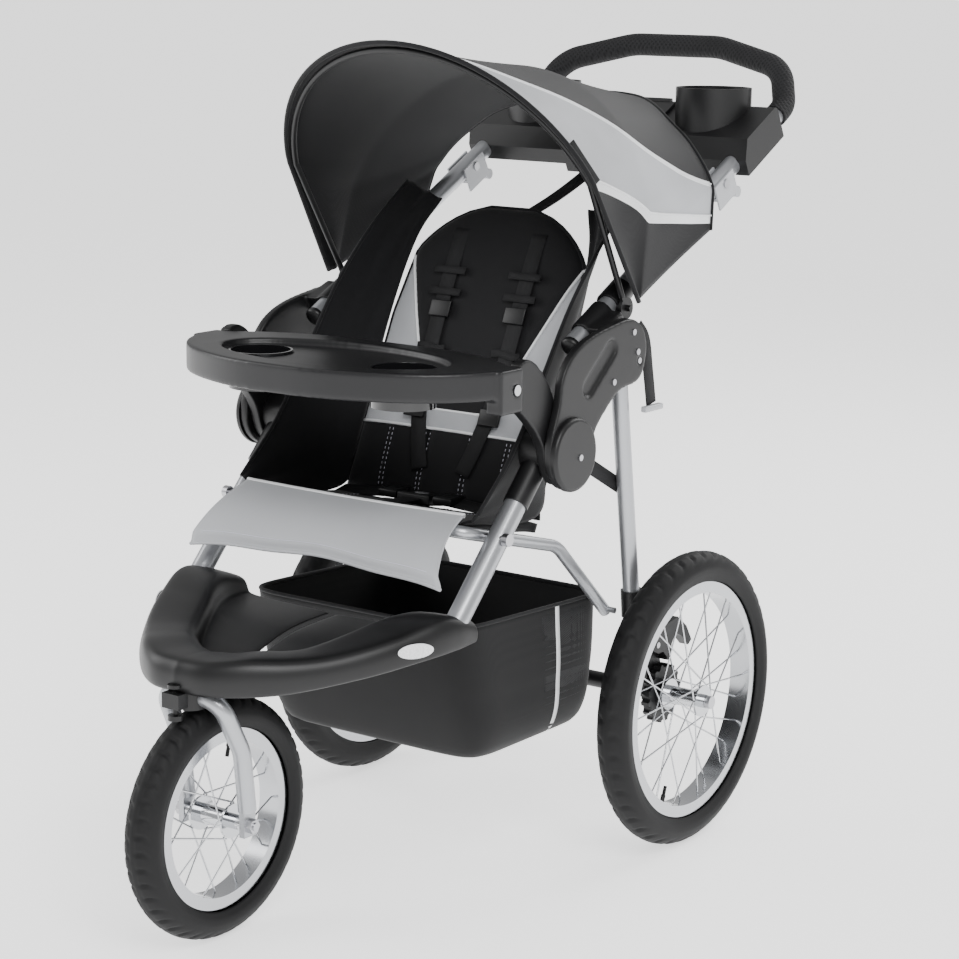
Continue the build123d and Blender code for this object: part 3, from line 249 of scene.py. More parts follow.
zinc_steel = finish_material("zinc_steel", grain, (0.50, 0.50, 0.52), 0.30, tone=0.12, fine=1200, bump=0.1,
                             metallic=1.0)
tyre_rubber = finish_material("tyre_rubber", grain, (0.008, 0.008, 0.0085), 0.62, tone=0.22, fine=1100,
                              bump=0.35, rough_spread=0.15, shine=0.25)
sleeve_foam = finish_material("sleeve_foam", braid, (0.012, 0.012, 0.013), 0.75, tone=0.5, fine=900,
                              bump=0.9, depth=0.0010, shine=0.25)
latch_grey = finish_material("latch_grey", grain, (0.45, 0.46, 0.48), 0.30, tone=0.06, fine=900, bump=0.08,
                             coat=0.2)
button_grey = finish_material("button_grey", grain, (0.20, 0.20, 0.21), 0.40, tone=0.08, fine=900, bump=0.1)
black_cloth = finish_material("black_cloth", threads, (0.0045, 0.0045, 0.0055), 0.80, tone=0.35, patch=9,
                              fine=5200, bump=0.35, sheen=0.12, depth=0.0003, shine=0.25)
basket_cloth = finish_material("basket_cloth", threads, (0.0045, 0.0045, 0.005), 0.70, tone=0.35, patch=7,
                               fine=4800, bump=0.35, sheen=0.08, depth=0.0003, shine=0.25)
grey_cloth = finish_material("grey_cloth", threads, (0.42, 0.43, 0.45), 0.62, tone=0.06, patch=10,
                             fine=5600, bump=0.3, sheen=0.1, depth=0.0002)
white_piping = finish_material("white_piping", threads, (0.80, 0.81, 0.82), 0.55, tone=0.04, fine=5000, bump=0.2)
webbing = finish_material("webbing", threads, (0.016, 0.016, 0.017), 0.68, tone=0.4, patch=30, fine=3600,
                          bump=0.7, depth=0.0005, shine=0.25)
white_thread = finish_material("white_thread", threads, (0.62, 0.62, 0.70), 0.6, tone=0.1, fine=4000, bump=0.2)


# --------------------------------------------------------- building helpers
def clean(name):
    return bpy.data.objects.new(name, bpy.data.meshes.new(name))


def piece(name, points, faces, material, uvs=None, smooth_shade=True):
    """A mesh piece from points and faces, with an optional UV for each point."""
    mesh = bpy.data.meshes.new(name)
    mesh.from_pydata([tuple(p) for p in points], [], faces)
    mesh.materials.append(material)
    if uvs:
        layer = mesh.uv_layers.new(name="lay")
        for loop in mesh.loops:
            layer.data[loop.index].uv = uvs[loop.vertex_index]
    for polygon in mesh.polygons:
        polygon.use_smooth = smooth_shade
    made = bpy.data.objects.new(name, mesh)
    bpy.context.scene.collection.objects.link(made)
    return made


def grid(name, surface, nu, nv, material, closed_u=False):
    """A sheet from surface(u, v), both from 0 to 1."""
    points, uvs, faces = [], [], []
    for j in range(nv + 1):
        for i in range(nu + (0 if closed_u else 1)):
            u, v = i / nu, j / nv
            points.append(surface(u, v))
            uvs.append((u, v))
    row = nu if closed_u else nu + 1
    for j in range(nv):
        for i in range(nu):
            k = (i + 1) % row
            faces.append((j * row + i, j * row + k, (j + 1) * row + k, (j + 1) * row + i))
    return piece(name, points, faces, material, uvs)


def thicken(made, thickness, offset=0.0):
    wall = made.modifiers.new("wall", "SOLIDIFY")
    wall.thickness = thickness / 1000
    wall.offset = offset
    wall.use_even_offset = False
    return made


def refine(made, levels=1):
    step = made.modifiers.new("round", "SUBSURF")
    step.levels = levels
    step.render_levels = levels
    return made


def tube(name, path, radius, material, closed=False, sides=10):
    """A round cord, bar or piping along a path."""
    count = len(path)
    points, faces, uvs = [], [], []
    side = None
    length = 0.0
    for i, here in enumerate(path):
        before = path[i - 1] if (closed or i > 0) else here
        after = path[(i + 1) % count] if (closed or i < count - 1) else here
        ahead = (after - before).normalized()
        if side is None:
            side = ahead.orthogonal().normalized()
        side = (side - ahead * side.dot(ahead)).normalized()
        across = ahead.cross(side)
        length += (here - before).length
        for k in range(sides):
            turn = 2 * math.pi * k / sides
            r = radius(i / (count - 1)) if callable(radius) else radius
            points.append(here + (side * math.cos(turn) + across * math.sin(turn)) * r / 1000)
            uvs.append((k / sides, length * 1000))
    rings = count if closed else count - 1
    for i in range(rings):
        a, b = i * sides, ((i + 1) % count) * sides
        for k in range(sides):
            n = (k + 1) % sides
            faces.append((a + k, a + n, b + n, b + k))
    if not closed:
        faces.append(tuple(reversed(range(sides))))
        faces.append(tuple((count - 1) * sides + k for k in range(sides)))
    return piece(name, points, faces, material, uvs)


def curve_through(knots, steps=8):
    """A smooth path through knots (Catmull-Rom)."""
    path = []
    ends = [knots[0] * 2 - knots[1]] + list(knots) + [knots[-1] * 2 - knots[-2]]
    for a, b, c, d in zip(ends, ends[1:], ends[2:], ends[3:]):
        for i in range(steps):
            t = i / steps
            path.append(0.5 * ((2 * b) + (c - a) * t + (2 * a - 5 * b + 4 * c - d) * t * t
                               + (3 * b - a - 3 * c + d) * t ** 3))
    path.append(knots[-1].copy())
    return path


def ribbon(name, path, facing, width, thickness, material):
    """A flat strap along a path; facing(i) is the direction its face looks."""
    points, faces = [], []
    count = len(path)
    half, deep = width / 2000, thickness / 2000
    profile = [(-half, 0), (-half * 0.94, deep), (half * 0.94, deep), (half, 0), (half * 0.94, -deep),
               (-half * 0.94, -deep)]
    for i, here in enumerate(path):
        before, after = path[max(i - 1, 0)], path[min(i + 1, count - 1)]
        ahead = (after - before).normalized()
        out = facing(i) if callable(facing) else facing
        out = (out - ahead * out.dot(ahead)).normalized()
        side = ahead.cross(out)
        points += [here + side * a + out * b for a, b in profile]
    n = len(profile)
    for i in range(count - 1):
        for k in range(n):
            m = (k + 1) % n
            faces.append((i * n + k, i * n + m, (i + 1) * n + m, (i + 1) * n + k))
    faces.append(tuple(reversed(range(n))))
    faces.append(tuple((count - 1) * n + k for k in range(n)))
    return piece(name, points, faces, material)


def rounded_box(name, middle, size, material, bevel=0.25, turn=None):
    """A block with soft edges: size in millimetres, turned by a matrix when given."""
    made = bpy.data.objects.new(name, bpy.data.meshes.new(name))
    half = Vector(size) / 2000
    corners = [Vector((sx * half.x, sy * half.y, sz * half.z)) for sx in (-1, 1) for sy in (-1, 1) for sz in (-1, 1)]
    if turn is not None:
        corners = [turn @ c for c in corners]
    corners = [middle + c for c in corners]
    faces = [(0, 1, 3, 2), (4, 6, 7, 5), (0, 4, 5, 1), (2, 3, 7, 6), (0, 2, 6, 4), (1, 5, 7, 3)]
    made = piece(name, corners, faces, material)
    soft = made.modifiers.new("edge", "BEVEL")
    soft.width = bevel * min(size) / 1000
    soft.segments = 3
    return made


def fix(made, body, slot=None, *nodes):
    """Mount a piece on a body and hide what it stands for."""
    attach(made, body)
    if nodes:
        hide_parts(*nodes)
    return made


# ------------------------------------------------------------ frame finishes
CAD_FINISH = {
    silver_paint: ["fork_tube", "front_tubes", "handlebar", "rear_legs", "seat_link_tube"],
    black_plastic: ["right_brake_drum", "left_brake_drum", "fork_crown", "front_sockets", "tray_arms", "side_plates",
                    "hinge_caps", "canopy_clamps", "footrest_shell", "parent_tray", "parent_tray_lid",
                    "rear_axle_beam", "brake_pedal_right", "brake_pedal_left", "head_tube",
                    "canopy_front_bow", "canopy_mid_bow", "harness_buckle",
                    "swivel_lock_knob"],
    tray_plastic: ["child_tray"],
    gloss_black: ["tray_cups"],
    chrome: ["tray_button_right", "tray_button_left", "right_rear_hub", "left_rear_hub", "front_hub",
             "right_rear_spokes", "left_rear_spokes", "front_spokes"],
    polished_rim: ["right_rear_rim", "left_rear_rim", "front_rim"],
    zinc_steel: ["front_axle", "rear_axle", "front_pivot_bolts", "upper_pivot_bolts"],
    sleeve_foam: ["handle_grip"],
    latch_grey: ["fold_latch_right", "fold_latch_left"],
    button_grey: ["buckle_button"],
    webbing: ["shoulder_straps", "lap_straps", "recline_strap", "leg_limit_straps", "fold_lock_strap"],
    black_cloth: ["seat_base", "seat_back", "seat_wings"],
}
for material, names in CAD_FINISH.items():
    for name in names:
        node = bpy.data.objects[name]
        node.data.materials.clear()
        node.data.materials.append(material)

# -------------------------------------------------------------------- tyres
def tyre(name, node, centre_y, centre_z, x, radius, width, rim_r, body):
    """A tyre with a rounded crown, scalloped sipes across it and ribs on its walls."""
    around, across = 360, 36
    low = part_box(node)[0]
    ring_r = radius - width / 2
    wall = width / 2

    def surface(u, v):
        swing = mix(-128, 128, v)
        a = math.radians(swing)
        r = ring_r + wall * math.cos(a)
        w = wall * math.sin(a)
        if abs(swing) > 100:
            w = math.copysign(wall * math.sin(math.radians(100)) * mix(1, 0.82, (abs(swing) - 100) / 28), w)
            r = mix(ring_r + wall * math.cos(math.radians(100)), rim_r + 1, (abs(swing) - 100) / 28)
        turn = 2 * math.pi * u
        tread = max(0.0, 1 - (abs(swing) / 62) ** 6)
        sweep_in = 0.55 * math.sin(math.radians(abs(swing) * 3.2))
        sipe = math.sin(turn * 45 + (1.6 if swing > 0 else 0) + sweep_in * 4)
        groove = smooth((sipe - 0.62) / 0.2) * smooth((abs(swing) - 10) / 8) * tread
        centre_groove = smooth(1 - abs(abs(swing) - 8) / 3)
        r -= (2.8 * groove + 1.2 * centre_groove) * math.cos(a)
        w -= 1.2 * groove * math.sin(a)
        rib = math.exp(-((abs(swing) - 84) / 3) ** 2) + math.exp(-((abs(swing) - 104) / 3) ** 2)
        w += math.copysign(0.5 * rib, w)
        return at(x + w, centre_y + r * math.cos(turn), centre_z + r * math.sin(turn))

    made = grid(name, surface, around, across, tyre_rubber, closed_u=True)
    thicken(made, 3.0, -1.0)
    return fix(made, body, "tyre", node)


tyre("front_tyre_tread", "front_tyre", -632, 148, 0, 148, 46, 110.5, "front_wheel")
tyre("right_tyre_tread", "right_rear_tyre", 0, 197, 267, 197, 44, 158, "rear_wheel_r")
tyre("left_tyre_tread", "left_rear_tyre", 0, 197, -267, 197, 44, 158, "rear_wheel_l")


def valve(name, x, centre_y, centre_z, radius, turn, body):
    a = math.radians(turn)
    out = Vector((0, math.cos(a), math.sin(a)))
    start = at(x, centre_y, centre_z) + out * (radius - 14) / 1000
    path = [start, start - out * 0.012, start - out * 0.0121, start - out * 0.024]
    made = tube(name, [path[0], path[1], path[2], path[3]], lambda t: 3.2 if t < 0.5 else 2.4, black_plastic)
    return fix(made, body, "black_plastic")


valve("right_valve", 267, 0, 197, 158, -112, "rear_wheel_r")
valve("left_valve", -267, 0, 197, 158, -60, "rear_wheel_l")
valve("front_valve", 0, -632, 148, 110.5, 75, "front_wheel")

# ------------------------------------------------------- footrest and trays
NOSE = [(0, -704), (48, -696), (104, -652), (170, -566), (209, -490), (221, -448), (221, -410)]
WELL = [(0, -628), (38, -608), (72, -578), (106, -522), (134, -462), (140, -410)]
SHELL_LOW = [(-714, 316), (-640, 319), (-566, 331), (-469, 347), (-405, 352)]
SHELL_HIGH = [(-714, 356), (-676, 362), (-640, 361), (-600, 362), (-520, 377), (-456, 392), (-430, 387), (-405, 377)]
# how far in from the outer edge, share of the way to the well, height share
SHELL_SECTION = [(7, 0, 0.0), (2, 0, 0.04), (0, 0, 0.25), (0, 0, 0.55), (3, 0, 0.8), (9, 0, 0.95), (18, 0, 1.0),
                 (0, 0.72, 0.97), (0, 0.88, 0.88), (0, 0.96, 0.7), (0, 1.0, 0.3), (0, 1.04, 0.12)]


def walked(points, t):
    steps = len(points) - 1
    return tuple(along([(i / steps, p[k]) for i, p in enumerate(points)], t) for k in range(2))


def shell_surface(u, v):
    """The footrest: u runs round the nose from the left end, v in over the rim and down."""
    side, t = (1, 2 * u - 1) if u >= 0.5 else (-1, 1 - 2 * u)
    outer, well = walked(NOSE, t), walked(WELL, t)
    span = math.hypot(outer[0] - well[0], outer[1] - well[1])
    rows = len(SHELL_SECTION)
    place = v * rows
    k = min(int(place), rows - 1)
    if k == rows - 1:
        share, height = mix(1.04, 1.0, 0), mix(0.12, 0.08, place - k)
        x = mix(outer[0], well[0], share) * (1 - (place - k))
        y = mix(outer[1], well[1], share)
    else:
        rest = place - k
        entries = [(inset / span + share, height) for inset, share, height in SHELL_SECTION[k:k + 2]]
        share = mix(entries[0][0], entries[1][0], rest)
        height = mix(entries[0][1], entries[1][1], rest)
        x, y = mix(outer[0], well[0], share), mix(outer[1], well[1], share)
    low, high = along(SHELL_LOW, outer[1]), along(SHELL_HIGH, outer[1])
    return at(side * x, y, mix(low, high, height))


shell = grid("footrest_scoop", shell_surface, 120, 12, black_plastic)
thicken(shell, 3.0, -1.0)
refine(shell, 2)
fix(shell, "front_frame", "black_plastic", "footrest_shell")


def softened(name, node, body, slot, material, voxel, rounds):
    """A moulded copy of a part with its hard edges rubbed round."""
    made = bpy.data.objects.new(name, bpy.data.objects[node].data.copy())
    bpy.context.scene.collection.objects.link(made)
    made.data.materials.clear()
    made.data.materials.append(material)
    even = made.modifiers.new("even", "REMESH")
    even.mode = "VOXEL"
    even.voxel_size = voxel / 1000
    even.use_smooth_shade = True
    soft = made.modifiers.new("soft", "SMOOTH")
    soft.factor = 0.5
    soft.iterations = rounds
    held = bpy.context.evaluated_depsgraph_get()
    made.data = bpy.data.meshes.new_from_object(made.evaluated_get(held))
    made.modifiers.clear()
    return fix(made, body, slot, node)


softened("child_tray_moulding", "child_tray", "front_tray", "tray_plastic", tray_plastic, 2.0, 14)
softened("side_plate_mouldings", "side_plates", "upper_frame", "black_plastic", black_plastic, 2.0, 8)
softened("tray_arm_mouldings", "tray_arms", "front_frame", "black_plastic", black_plastic, 2.0, 6)
for side, sign in (("right", 1), ("left", -1)):
    ends = [at(sign * 205, -203, 682.0), at(sign * 205, -201, 683.1), at(sign * 205, -196, 685.7)]
    fix(tube(f"handlebar_plug_{side}", ends, lambda t: 10 if t < 0.3 else 13, black_plastic, sides=20), "upper_frame",
        "black_plastic")

# -------------------------------------------------------------------- canopy
ARCHES = (
    # origin, angle, half width at the hem, hem, half width, shoulder, top
    (CANOPY_PIVOT, 122.0, 250, 12, 240, 196, 386),
    (CANOPY_PIVOT, 76.0, 247, 14, 240, 126, 304),
    (CANOPY_REAR, 71.6, 237, 0, 228, 50, 148),
)


def arch_point(arch, u):
    """A point of an arch: u runs from -1 at the left hem over the top to 1."""
    origin, angle, hem_half, hem, half, shoulder, top = arch
    radius = (half ** 2 + (top - shoulder) ** 2) / (2 * (top - shoulder))
    middle = top - radius
    over = radius * math.atan2(half, shoulder - middle)
    total = over + shoulder - hem
    reach = abs(u) * total
    if reach <= over:
        x, r = radius * math.sin(reach / radius), middle + radius * math.cos(reach / radius)
    else:
        t = (reach - over) / (shoulder - hem)
        x, r = mix(half, hem_half, t), mix(shoulder, hem, t)
    y, z = polar(origin, r, angle)
    return Vector((math.copysign(x, u), y, z))


def canopy_point(u, v, lift=0.0):
    """The canopy cloth: u across from -1 to 1, v from the front rim to the rear hem."""
    front, mid, rear = (arch_point(arch, u) for arch in ARCHES)
    if v < 0.5:
        point, gap = front.lerp(mid, v * 2), math.sin(math.pi * v * 2)
    else:
        point, gap = mid.lerp(rear, v * 2 - 1), math.sin(math.pi * (v * 2 - 1))
    inward = Vector((-point.x, 0, 760 - point.z))
    inward.normalize()
    folds = 0.6 * math.sin(u * 23 + v * 9) * math.sin(u * 7)
    return at(*(point + inward * (1.2 + 4.0 * gap + folds * gap - lift)))


def band_top(v):
    return 0.15 + 0.55 * v + 0.25 * v * v


def band_low(v):
    return 0.635 + 0.05 * v + 0.35 * v * v


def build_canopy_bands():
    """Where the grey band, its white edges and the mesh window lie on the cloth."""
    group, inside, outside = new_group("canopy_bands", [("Edge", "NodeSocketFloat", 0.012)],
                                       [("Grey", "NodeSocketFloat"), ("White", "NodeSocketFloat"),
                                        ("Mesh", "NodeSocketFloat")])
    coords = group.nodes.new("ShaderNodeTexCoord").outputs["UV"]
    parts = group.nodes.new("ShaderNodeSeparateXYZ")
    group.links.new(coords, parts.inputs[0])
    u = math_node(group, "ABSOLUTE", math_node(group, "MULTIPLY", math_node(group, "SUBTRACT", parts.outputs["X"], 0.5), 2.0))
    v = parts.outputs["Y"]
    v2 = math_node(group, "MULTIPLY", v, v)

    def line(a, b, c):
        first = math_node(group, "ADD", math_node(group, "MULTIPLY", v, b), a)
        return math_node(group, "ADD", first, math_node(group, "MULTIPLY", v2, c))

    top, low = line(0.15, 0.55, 0.25), line(0.635, 0.05, 0.35)
    below_top = math_node(group, "GREATER_THAN", u, top)
    above_low = math_node(group, "LESS_THAN", u, low)
    band = math_node(group, "MULTIPLY", below_top, above_low)
    rim = math_node(group, "MULTIPLY", math_node(group, "LESS_THAN", v, 0.03), math_node(group, "LESS_THAN", u, 0.64))
    group.links.new(math_node(group, "MAXIMUM", band, rim), outside.inputs["Grey"])
    near_low = math_node(group, "SUBTRACT", u, low)
    wide = math_node(group, "MULTIPLY", math_node(group, "GREATER_THAN", near_low, 0.0),
                     math_node(group, "LESS_THAN", near_low, math_node(group, "MULTIPLY", inside.outputs["Edge"], 2.6)))
    near_top = math_node(group, "ABSOLUTE", math_node(group, "SUBTRACT", u, top))
    thin = math_node(group, "LESS_THAN", near_top, inside.outputs["Edge"])
    thin = math_node(group, "MULTIPLY", thin, math_node(group, "GREATER_THAN", v, 0.03))
    group.links.new(math_node(group, "MAXIMUM", wide, thin), outside.inputs["White"])
    window = math_node(group, "MULTIPLY", math_node(group, "GREATER_THAN", u, 0.82),
                       math_node(group, "LESS_THAN", u, 0.97))
    window = math_node(group, "MULTIPLY", window, math_node(group, "GREATER_THAN", v, 0.12))
    window = math_node(group, "MULTIPLY", window, math_node(group, "LESS_THAN", v, 0.58))
    group.links.new(window, outside.inputs["Mesh"])
    return group


def mixed_colour(tree, factor, low, high):
    node = tree.nodes.new("ShaderNodeMix")
    node.data_type = "RGBA"
    tree.links.new(factor, node.inputs[0])
    for socket, value in ((node.inputs[6], low), (node.inputs[7], high)):
        if isinstance(value, tuple):
            socket.default_value = (*value, 1)
        else:
            tree.links.new(value, socket)
    return node.outputs[2]


canopy_cloth = finish_material("canopy_cloth", threads, (0.0045, 0.0045, 0.0055), 0.62, tone=0.3, patch=8,
                               fine=5200, bump=0.3, sheen=0.08, depth=0.0003, shine=0.25)
tree = canopy_cloth.node_tree
bands = tree.nodes.new("ShaderNodeGroup")
bands.node_tree = build_canopy_bands()
surface = next(n for n in tree.nodes if n.type == "GROUP" and n.node_tree == threads)
colour = mixed_colour(tree, bands.outputs["Grey"], (0.0045, 0.0045, 0.0055), (0.42, 0.43, 0.45))
colour = mixed_colour(tree, bands.outputs["White"], colour, (0.80, 0.81, 0.82))
colour = mixed_colour(tree, bands.outputs["Mesh"], colour, (0.004, 0.004, 0.005))
tree.links.new(colour, surface.inputs["Color"])

def canopy_hem(u):
    """How far back the cloth reaches: less at the sides than along the crest."""
    return 1 - 0.13 * smooth((abs(u) - 0.1) / 0.4)


canopy = grid("canopy_sheet", lambda u, v: canopy_point(2 * u - 1, v * canopy_hem(2 * u - 1)), 128, 48, canopy_cloth)
layer = canopy.data.uv_layers[0]
for loop in canopy.data.loops:
    u, v = layer.data[loop.index].uv
    layer.data[loop.index].uv = (u, v * canopy_hem(2 * u - 1))
canopy.data.materials.append(black_cloth)
thicken(canopy, 1.2, -1.0)
canopy.modifiers["wall"].material_offset = 1
fix(canopy, "upper_frame", "canopy_cloth", "canopy_cover")

rim = tube("canopy_front_binding", [canopy_point(u / 40, 0.002, 1.0) for u in range(-40, 41)], 3.2, black_cloth)
fix(rim, "upper_frame", "canopy_cloth")
hem = tube("canopy_rear_hem", [canopy_point(u / 40, canopy_hem(u / 40) - 0.002, 0.5) for u in range(-40, 41)], 2.2, black_cloth)
fix(hem, "upper_frame", "canopy_cloth")
for side, sign in (("right", 1), ("left", -1)):
    for edge, line in (("upper", band_top), ("lower", band_low)):
        path = [canopy_point(sign * line(v / 30), v / 30, 0.6) for v in range(1, 27)]
        fix(tube(f"canopy_{edge}_piping_{side}", path, 1.3, white_piping), "upper_frame", "canopy_cloth")

tag_low, tag_high = canopy_point(0.65, 0.02, 3.0), canopy_point(0.53, 0.02, 3.0)
tag = ribbon("canopy_blank_tag", [tag_high.lerp(tag_low, t / 6) for t in range(7)], Vector((0.8, -0.4, 0.4)), 15, 1.6,
             webbing)
fix(tag, "upper_frame", "canopy_cloth")

# ---------------------------------------------------------------------- seat
back_lean = math.atan2(SEAT_TOP[1] - CREASE[1], SEAT_TOP[0] - CREASE[0])
BACK_UP = Vector((0, math.cos(back_lean), math.sin(back_lean)))
BACK_OUT = Vector((0, -math.sin(back_lean), math.cos(back_lean)))
BACK_LENGTH = 408.0


def on_back(x, s, n):
    """x across, s up the seat back from the crease and n out of it."""
    return at(x, *CREASE) + (BACK_UP * s + BACK_OUT * n) / 1000




def back_half(v):
    """Half width of the seat back: nearly straight sides under a round top."""
    s = 2 + v * (BACK_LENGTH - 2)
    if s < 250:
        return mix(157, 150, s / 250)
    if s < 340:
        return mix(150, 136, (s - 250) / 90)
    return math.sqrt(max(164.4 ** 2 - (s - 247.6) ** 2, 64))


def back_surface(u, v):
    """The padded back: v runs from the crease to the top, u across."""
    half = back_half(v)
    x = (2 * u - 1) * half
    edge = 1 - abs(2 * u - 1) ** 4
    crown = (edge * (1 - abs(2 * v - 1) ** 8)) ** 0.5 if edge > 0 else 0
    centre = math.exp(-((abs(x) - panel_half(v)) / 5) ** 2)
    return on_back(x, 2 + v * (BACK_LENGTH - 2), 4 + 16 * crown - 2.5 * centre * crown)


def panel_half(v):
    """Half width of the black middle panel, bounded by the piping."""
    return along([(0.0, 36), (0.30, 40), (0.36, 56), (0.45, 76), (0.6, 102), (0.72, 121), (0.82, 137), (1.0, 150)], v)


def build_seat_panels():
    """Where the light side panels lie on the seat back."""
    group, inside, outside = new_group("seat_panels", [("Low", "NodeSocketFloat", 0.235)],
                                       [("Grey", "NodeSocketFloat")])
    coords = group.nodes.new("ShaderNodeTexCoord").outputs["UV"]
    parts = group.nodes.new("ShaderNodeSeparateXYZ")
    group.links.new(coords, parts.inputs[0])
    x = math_node(group, "ABSOLUTE", parts.outputs["X"])
    outer = math_node(group, "GREATER_THAN", x, 1.0)
    below = math_node(group, "LESS_THAN", parts.outputs["Y"], 0.3)
    outer = math_node(group, "MAXIMUM", outer, below)
    high = math_node(group, "GREATER_THAN", parts.outputs["Y"], inside.outputs["Low"])
    group.links.new(math_node(group, "MULTIPLY", outer, high), outside.inputs["Grey"])
    return group


seat_cloth = finish_material("seat_cloth", threads, (0.0045, 0.0045, 0.0055), 0.78, tone=0.35, patch=9,
                             fine=5200, bump=0.35, sheen=0.12, depth=0.0003, shine=0.25)
tree = seat_cloth.node_tree
panels = tree.nodes.new("ShaderNodeGroup")
panels.node_tree = build_seat_panels()
surface = next(n for n in tree.nodes if n.type == "GROUP" and n.node_tree == threads)
tree.links.new(mixed_colour(tree, panels.outputs["Grey"], (0.0045, 0.0045, 0.0055), (0.42, 0.43, 0.45)),
               surface.inputs["Color"])

back = grid("seat_back_pad", back_surface, 64, 72, seat_cloth)
layer = back.data.uv_layers[0]
for loop in back.data.loops:
    u, v = layer.data[loop.index].uv
    x = (2 * u - 1) * back_half(v)
    layer.data[loop.index].uv = (x / max(panel_half(v), 1.0), v)
thicken(back, 7.0, -1.0)
fix(back, "seat_rest", "seat_cloth", "seat_back")

piping_path = []
for i in range(0, 61):
    v = mix(0.82, 0.30, i / 60)
    piping_path.append((panel_half(v), v))
left_side = [(-x, v) for x, v in reversed(piping_path)]


def on_pad(x, v, lift):
    half = back_half(v)
    return back_surface((x / half + 1) / 2, v) + BACK_OUT * lift / 1000


loop_path = [on_pad(x, v, 1.0) for x, v in piping_path + left_side]
fix(tube("seat_back_piping", loop_path, 2.0, white_piping), "seat_rest", "seat_cloth")
low_path = [on_pad(mix(-150, 150, i / 40), 0.235, 0.6) for i in range(41)]
fix(tube("seat_panel_lower_piping", low_path, 2.0, white_piping), "seat_rest", "seat_cloth")
edge_path = [on_pad(side * back_half(v) * 0.985, v, -1.0)
             for side, vs in ((1, [i / 40 for i in range(4, 41)]), (-1, [i / 40 for i in range(40, 3, -1)]))
             for v in vs]
fix(tube("seat_back_binding", edge_path, 3.0, black_cloth), "seat_rest", "seat_cloth")

BASE_REAR = (-196.0, 452.0)
BASE_FRONT = (-378.0, 478.0)


def base_surface(u, v):
    """The seat base: v runs from its front edge to the crease."""
    x = (2 * u - 1) * 158
    y, z = mix(BASE_FRONT[0], BASE_REAR[0], v), mix(BASE_FRONT[1], BASE_REAR[1], v)
    dip = 1 - (2 * u - 1) ** 2
    channel = sum(math.exp(-((abs(x) - c) / 2.4) ** 2) for c in (38, 92))
    crown = (1 - abs(2 * u - 1) ** 6) * (1 - abs(2 * v - 1) ** 6)
    return at(x, y, z - 6 * dip * v + 8 * max(crown, 0) ** 0.5 - 2.0 * channel * max(crown, 0))


base = grid("seat_base_pad", base_surface, 64, 40, black_cloth)
thicken(base, 12.0, -1.0)
fix(base, "seat_link", "seat_cloth", "seat_base")


def wing_surface(sign):
    """Cloth from the seat's edge out to the side tubes, with a few slack folds."""
    inner = [(156, -374, 482), (157, -204, 462), (152, -168, 530), (150, -112, 670), (140, -62, 780), (118, -34, 836)]
    outer = [(188, -370, 498), (188, -296, 566), (188, -232, 650), (187, -172, 730), (184, -104, 800), (176, -36, 858)]

    def surface(u, v):
        a = Vector([along([(i / 5, p[k]) for i, p in enumerate(inner)], v) for k in range(3)])
        b = Vector([along([(i / 5, p[k]) for i, p in enumerate(outer)], v) for k in range(3)])
        slack = 9 * math.sin(math.pi * u) * (0.7 + 0.3 * math.sin(v * 13 + sign)) + 2.5 * math.sin(u * 14 + v * 6)
        x, y, z = a.lerp(b, u)
        return at(sign * (x + 0.2 * slack), y + 0.6 * slack, z - 0.5 * slack)
    return surface


for side, sign in (("right", 1), ("left", -1)):
    wing = grid(f"seat_wing_{side}", wing_surface(sign), 20, 60, black_cloth)
    edge = tube(f"seat_wing_binding_{side}", [wing_surface(sign)(1.0, i / 40) for i in range(41)], 2.6, black_cloth)
    for part in (wing, edge):
        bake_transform(part)
    thicken(wing, 1.6, 0.0)
    if sign > 0:
        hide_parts("seat_wings")

# ---------------------------------------------------------------- calf flap
def flap_surface(u, v):
    """The light flap: v runs from the piped top edge to the curled lower edge."""
    across = 2 * u - 1
    reach = v * (1 - 0.12 * (1 - across ** 2))
    x = across * mix(172, 198, reach ** 1.4)
    drop = 1 - across ** 2
    y, z = mix(-374, -466, reach), mix(495 - 2 * drop, 424, reach)
    belly = 12 * math.sin(math.pi * reach)
    curl = 12 * smooth((v - 0.84) / 0.16)
    wave = 1.6 * math.sin(u * 15) * v
    return at(x, y - 0.6 * belly + 0.8 * curl, z + 0.7 * belly + wave - 0.2 * curl)


flap = grid("calf_flap_sheet", flap_surface, 60, 28, grey_cloth)
thicken(flap, 3.0, 0.0)
fix(flap, "seat_link", "grey_cloth", "calf_flap")
for name, v, radius, material in (("top_piping", 0.0, 3.0, white_piping), ("low_binding", 1.0, 2.2, grey_cloth)):
    path = [flap_surface(i / 40, v) for i in range(41)]
    fix(tube(f"calf_flap_{name}", path, radius, material), "seat_link", "grey_cloth")
stitch = [flap_surface(mix(0.04, 0.96, i / 40), 0.86) + Vector((0, -0.0012, 0.0012)) for i in range(41)]
fix(tube("calf_flap_stitching", stitch, 0.5, white_thread, sides=6), "seat_link", "grey_cloth")

# -------------------------------------------------------------------- basket
def basket_ring(v):
    """The basket's outline, as front, rear, half width and height, from rim to floor."""
    front = along([(0, -377), (0.9, -334), (1, -326)], v)
    rear = along([(0, -56), (0.9, -80), (1, -86)], v)
    half = along([(0, 172), (0.5, 174), (0.92, 166), (1, 156)], v)
    return front, rear, half


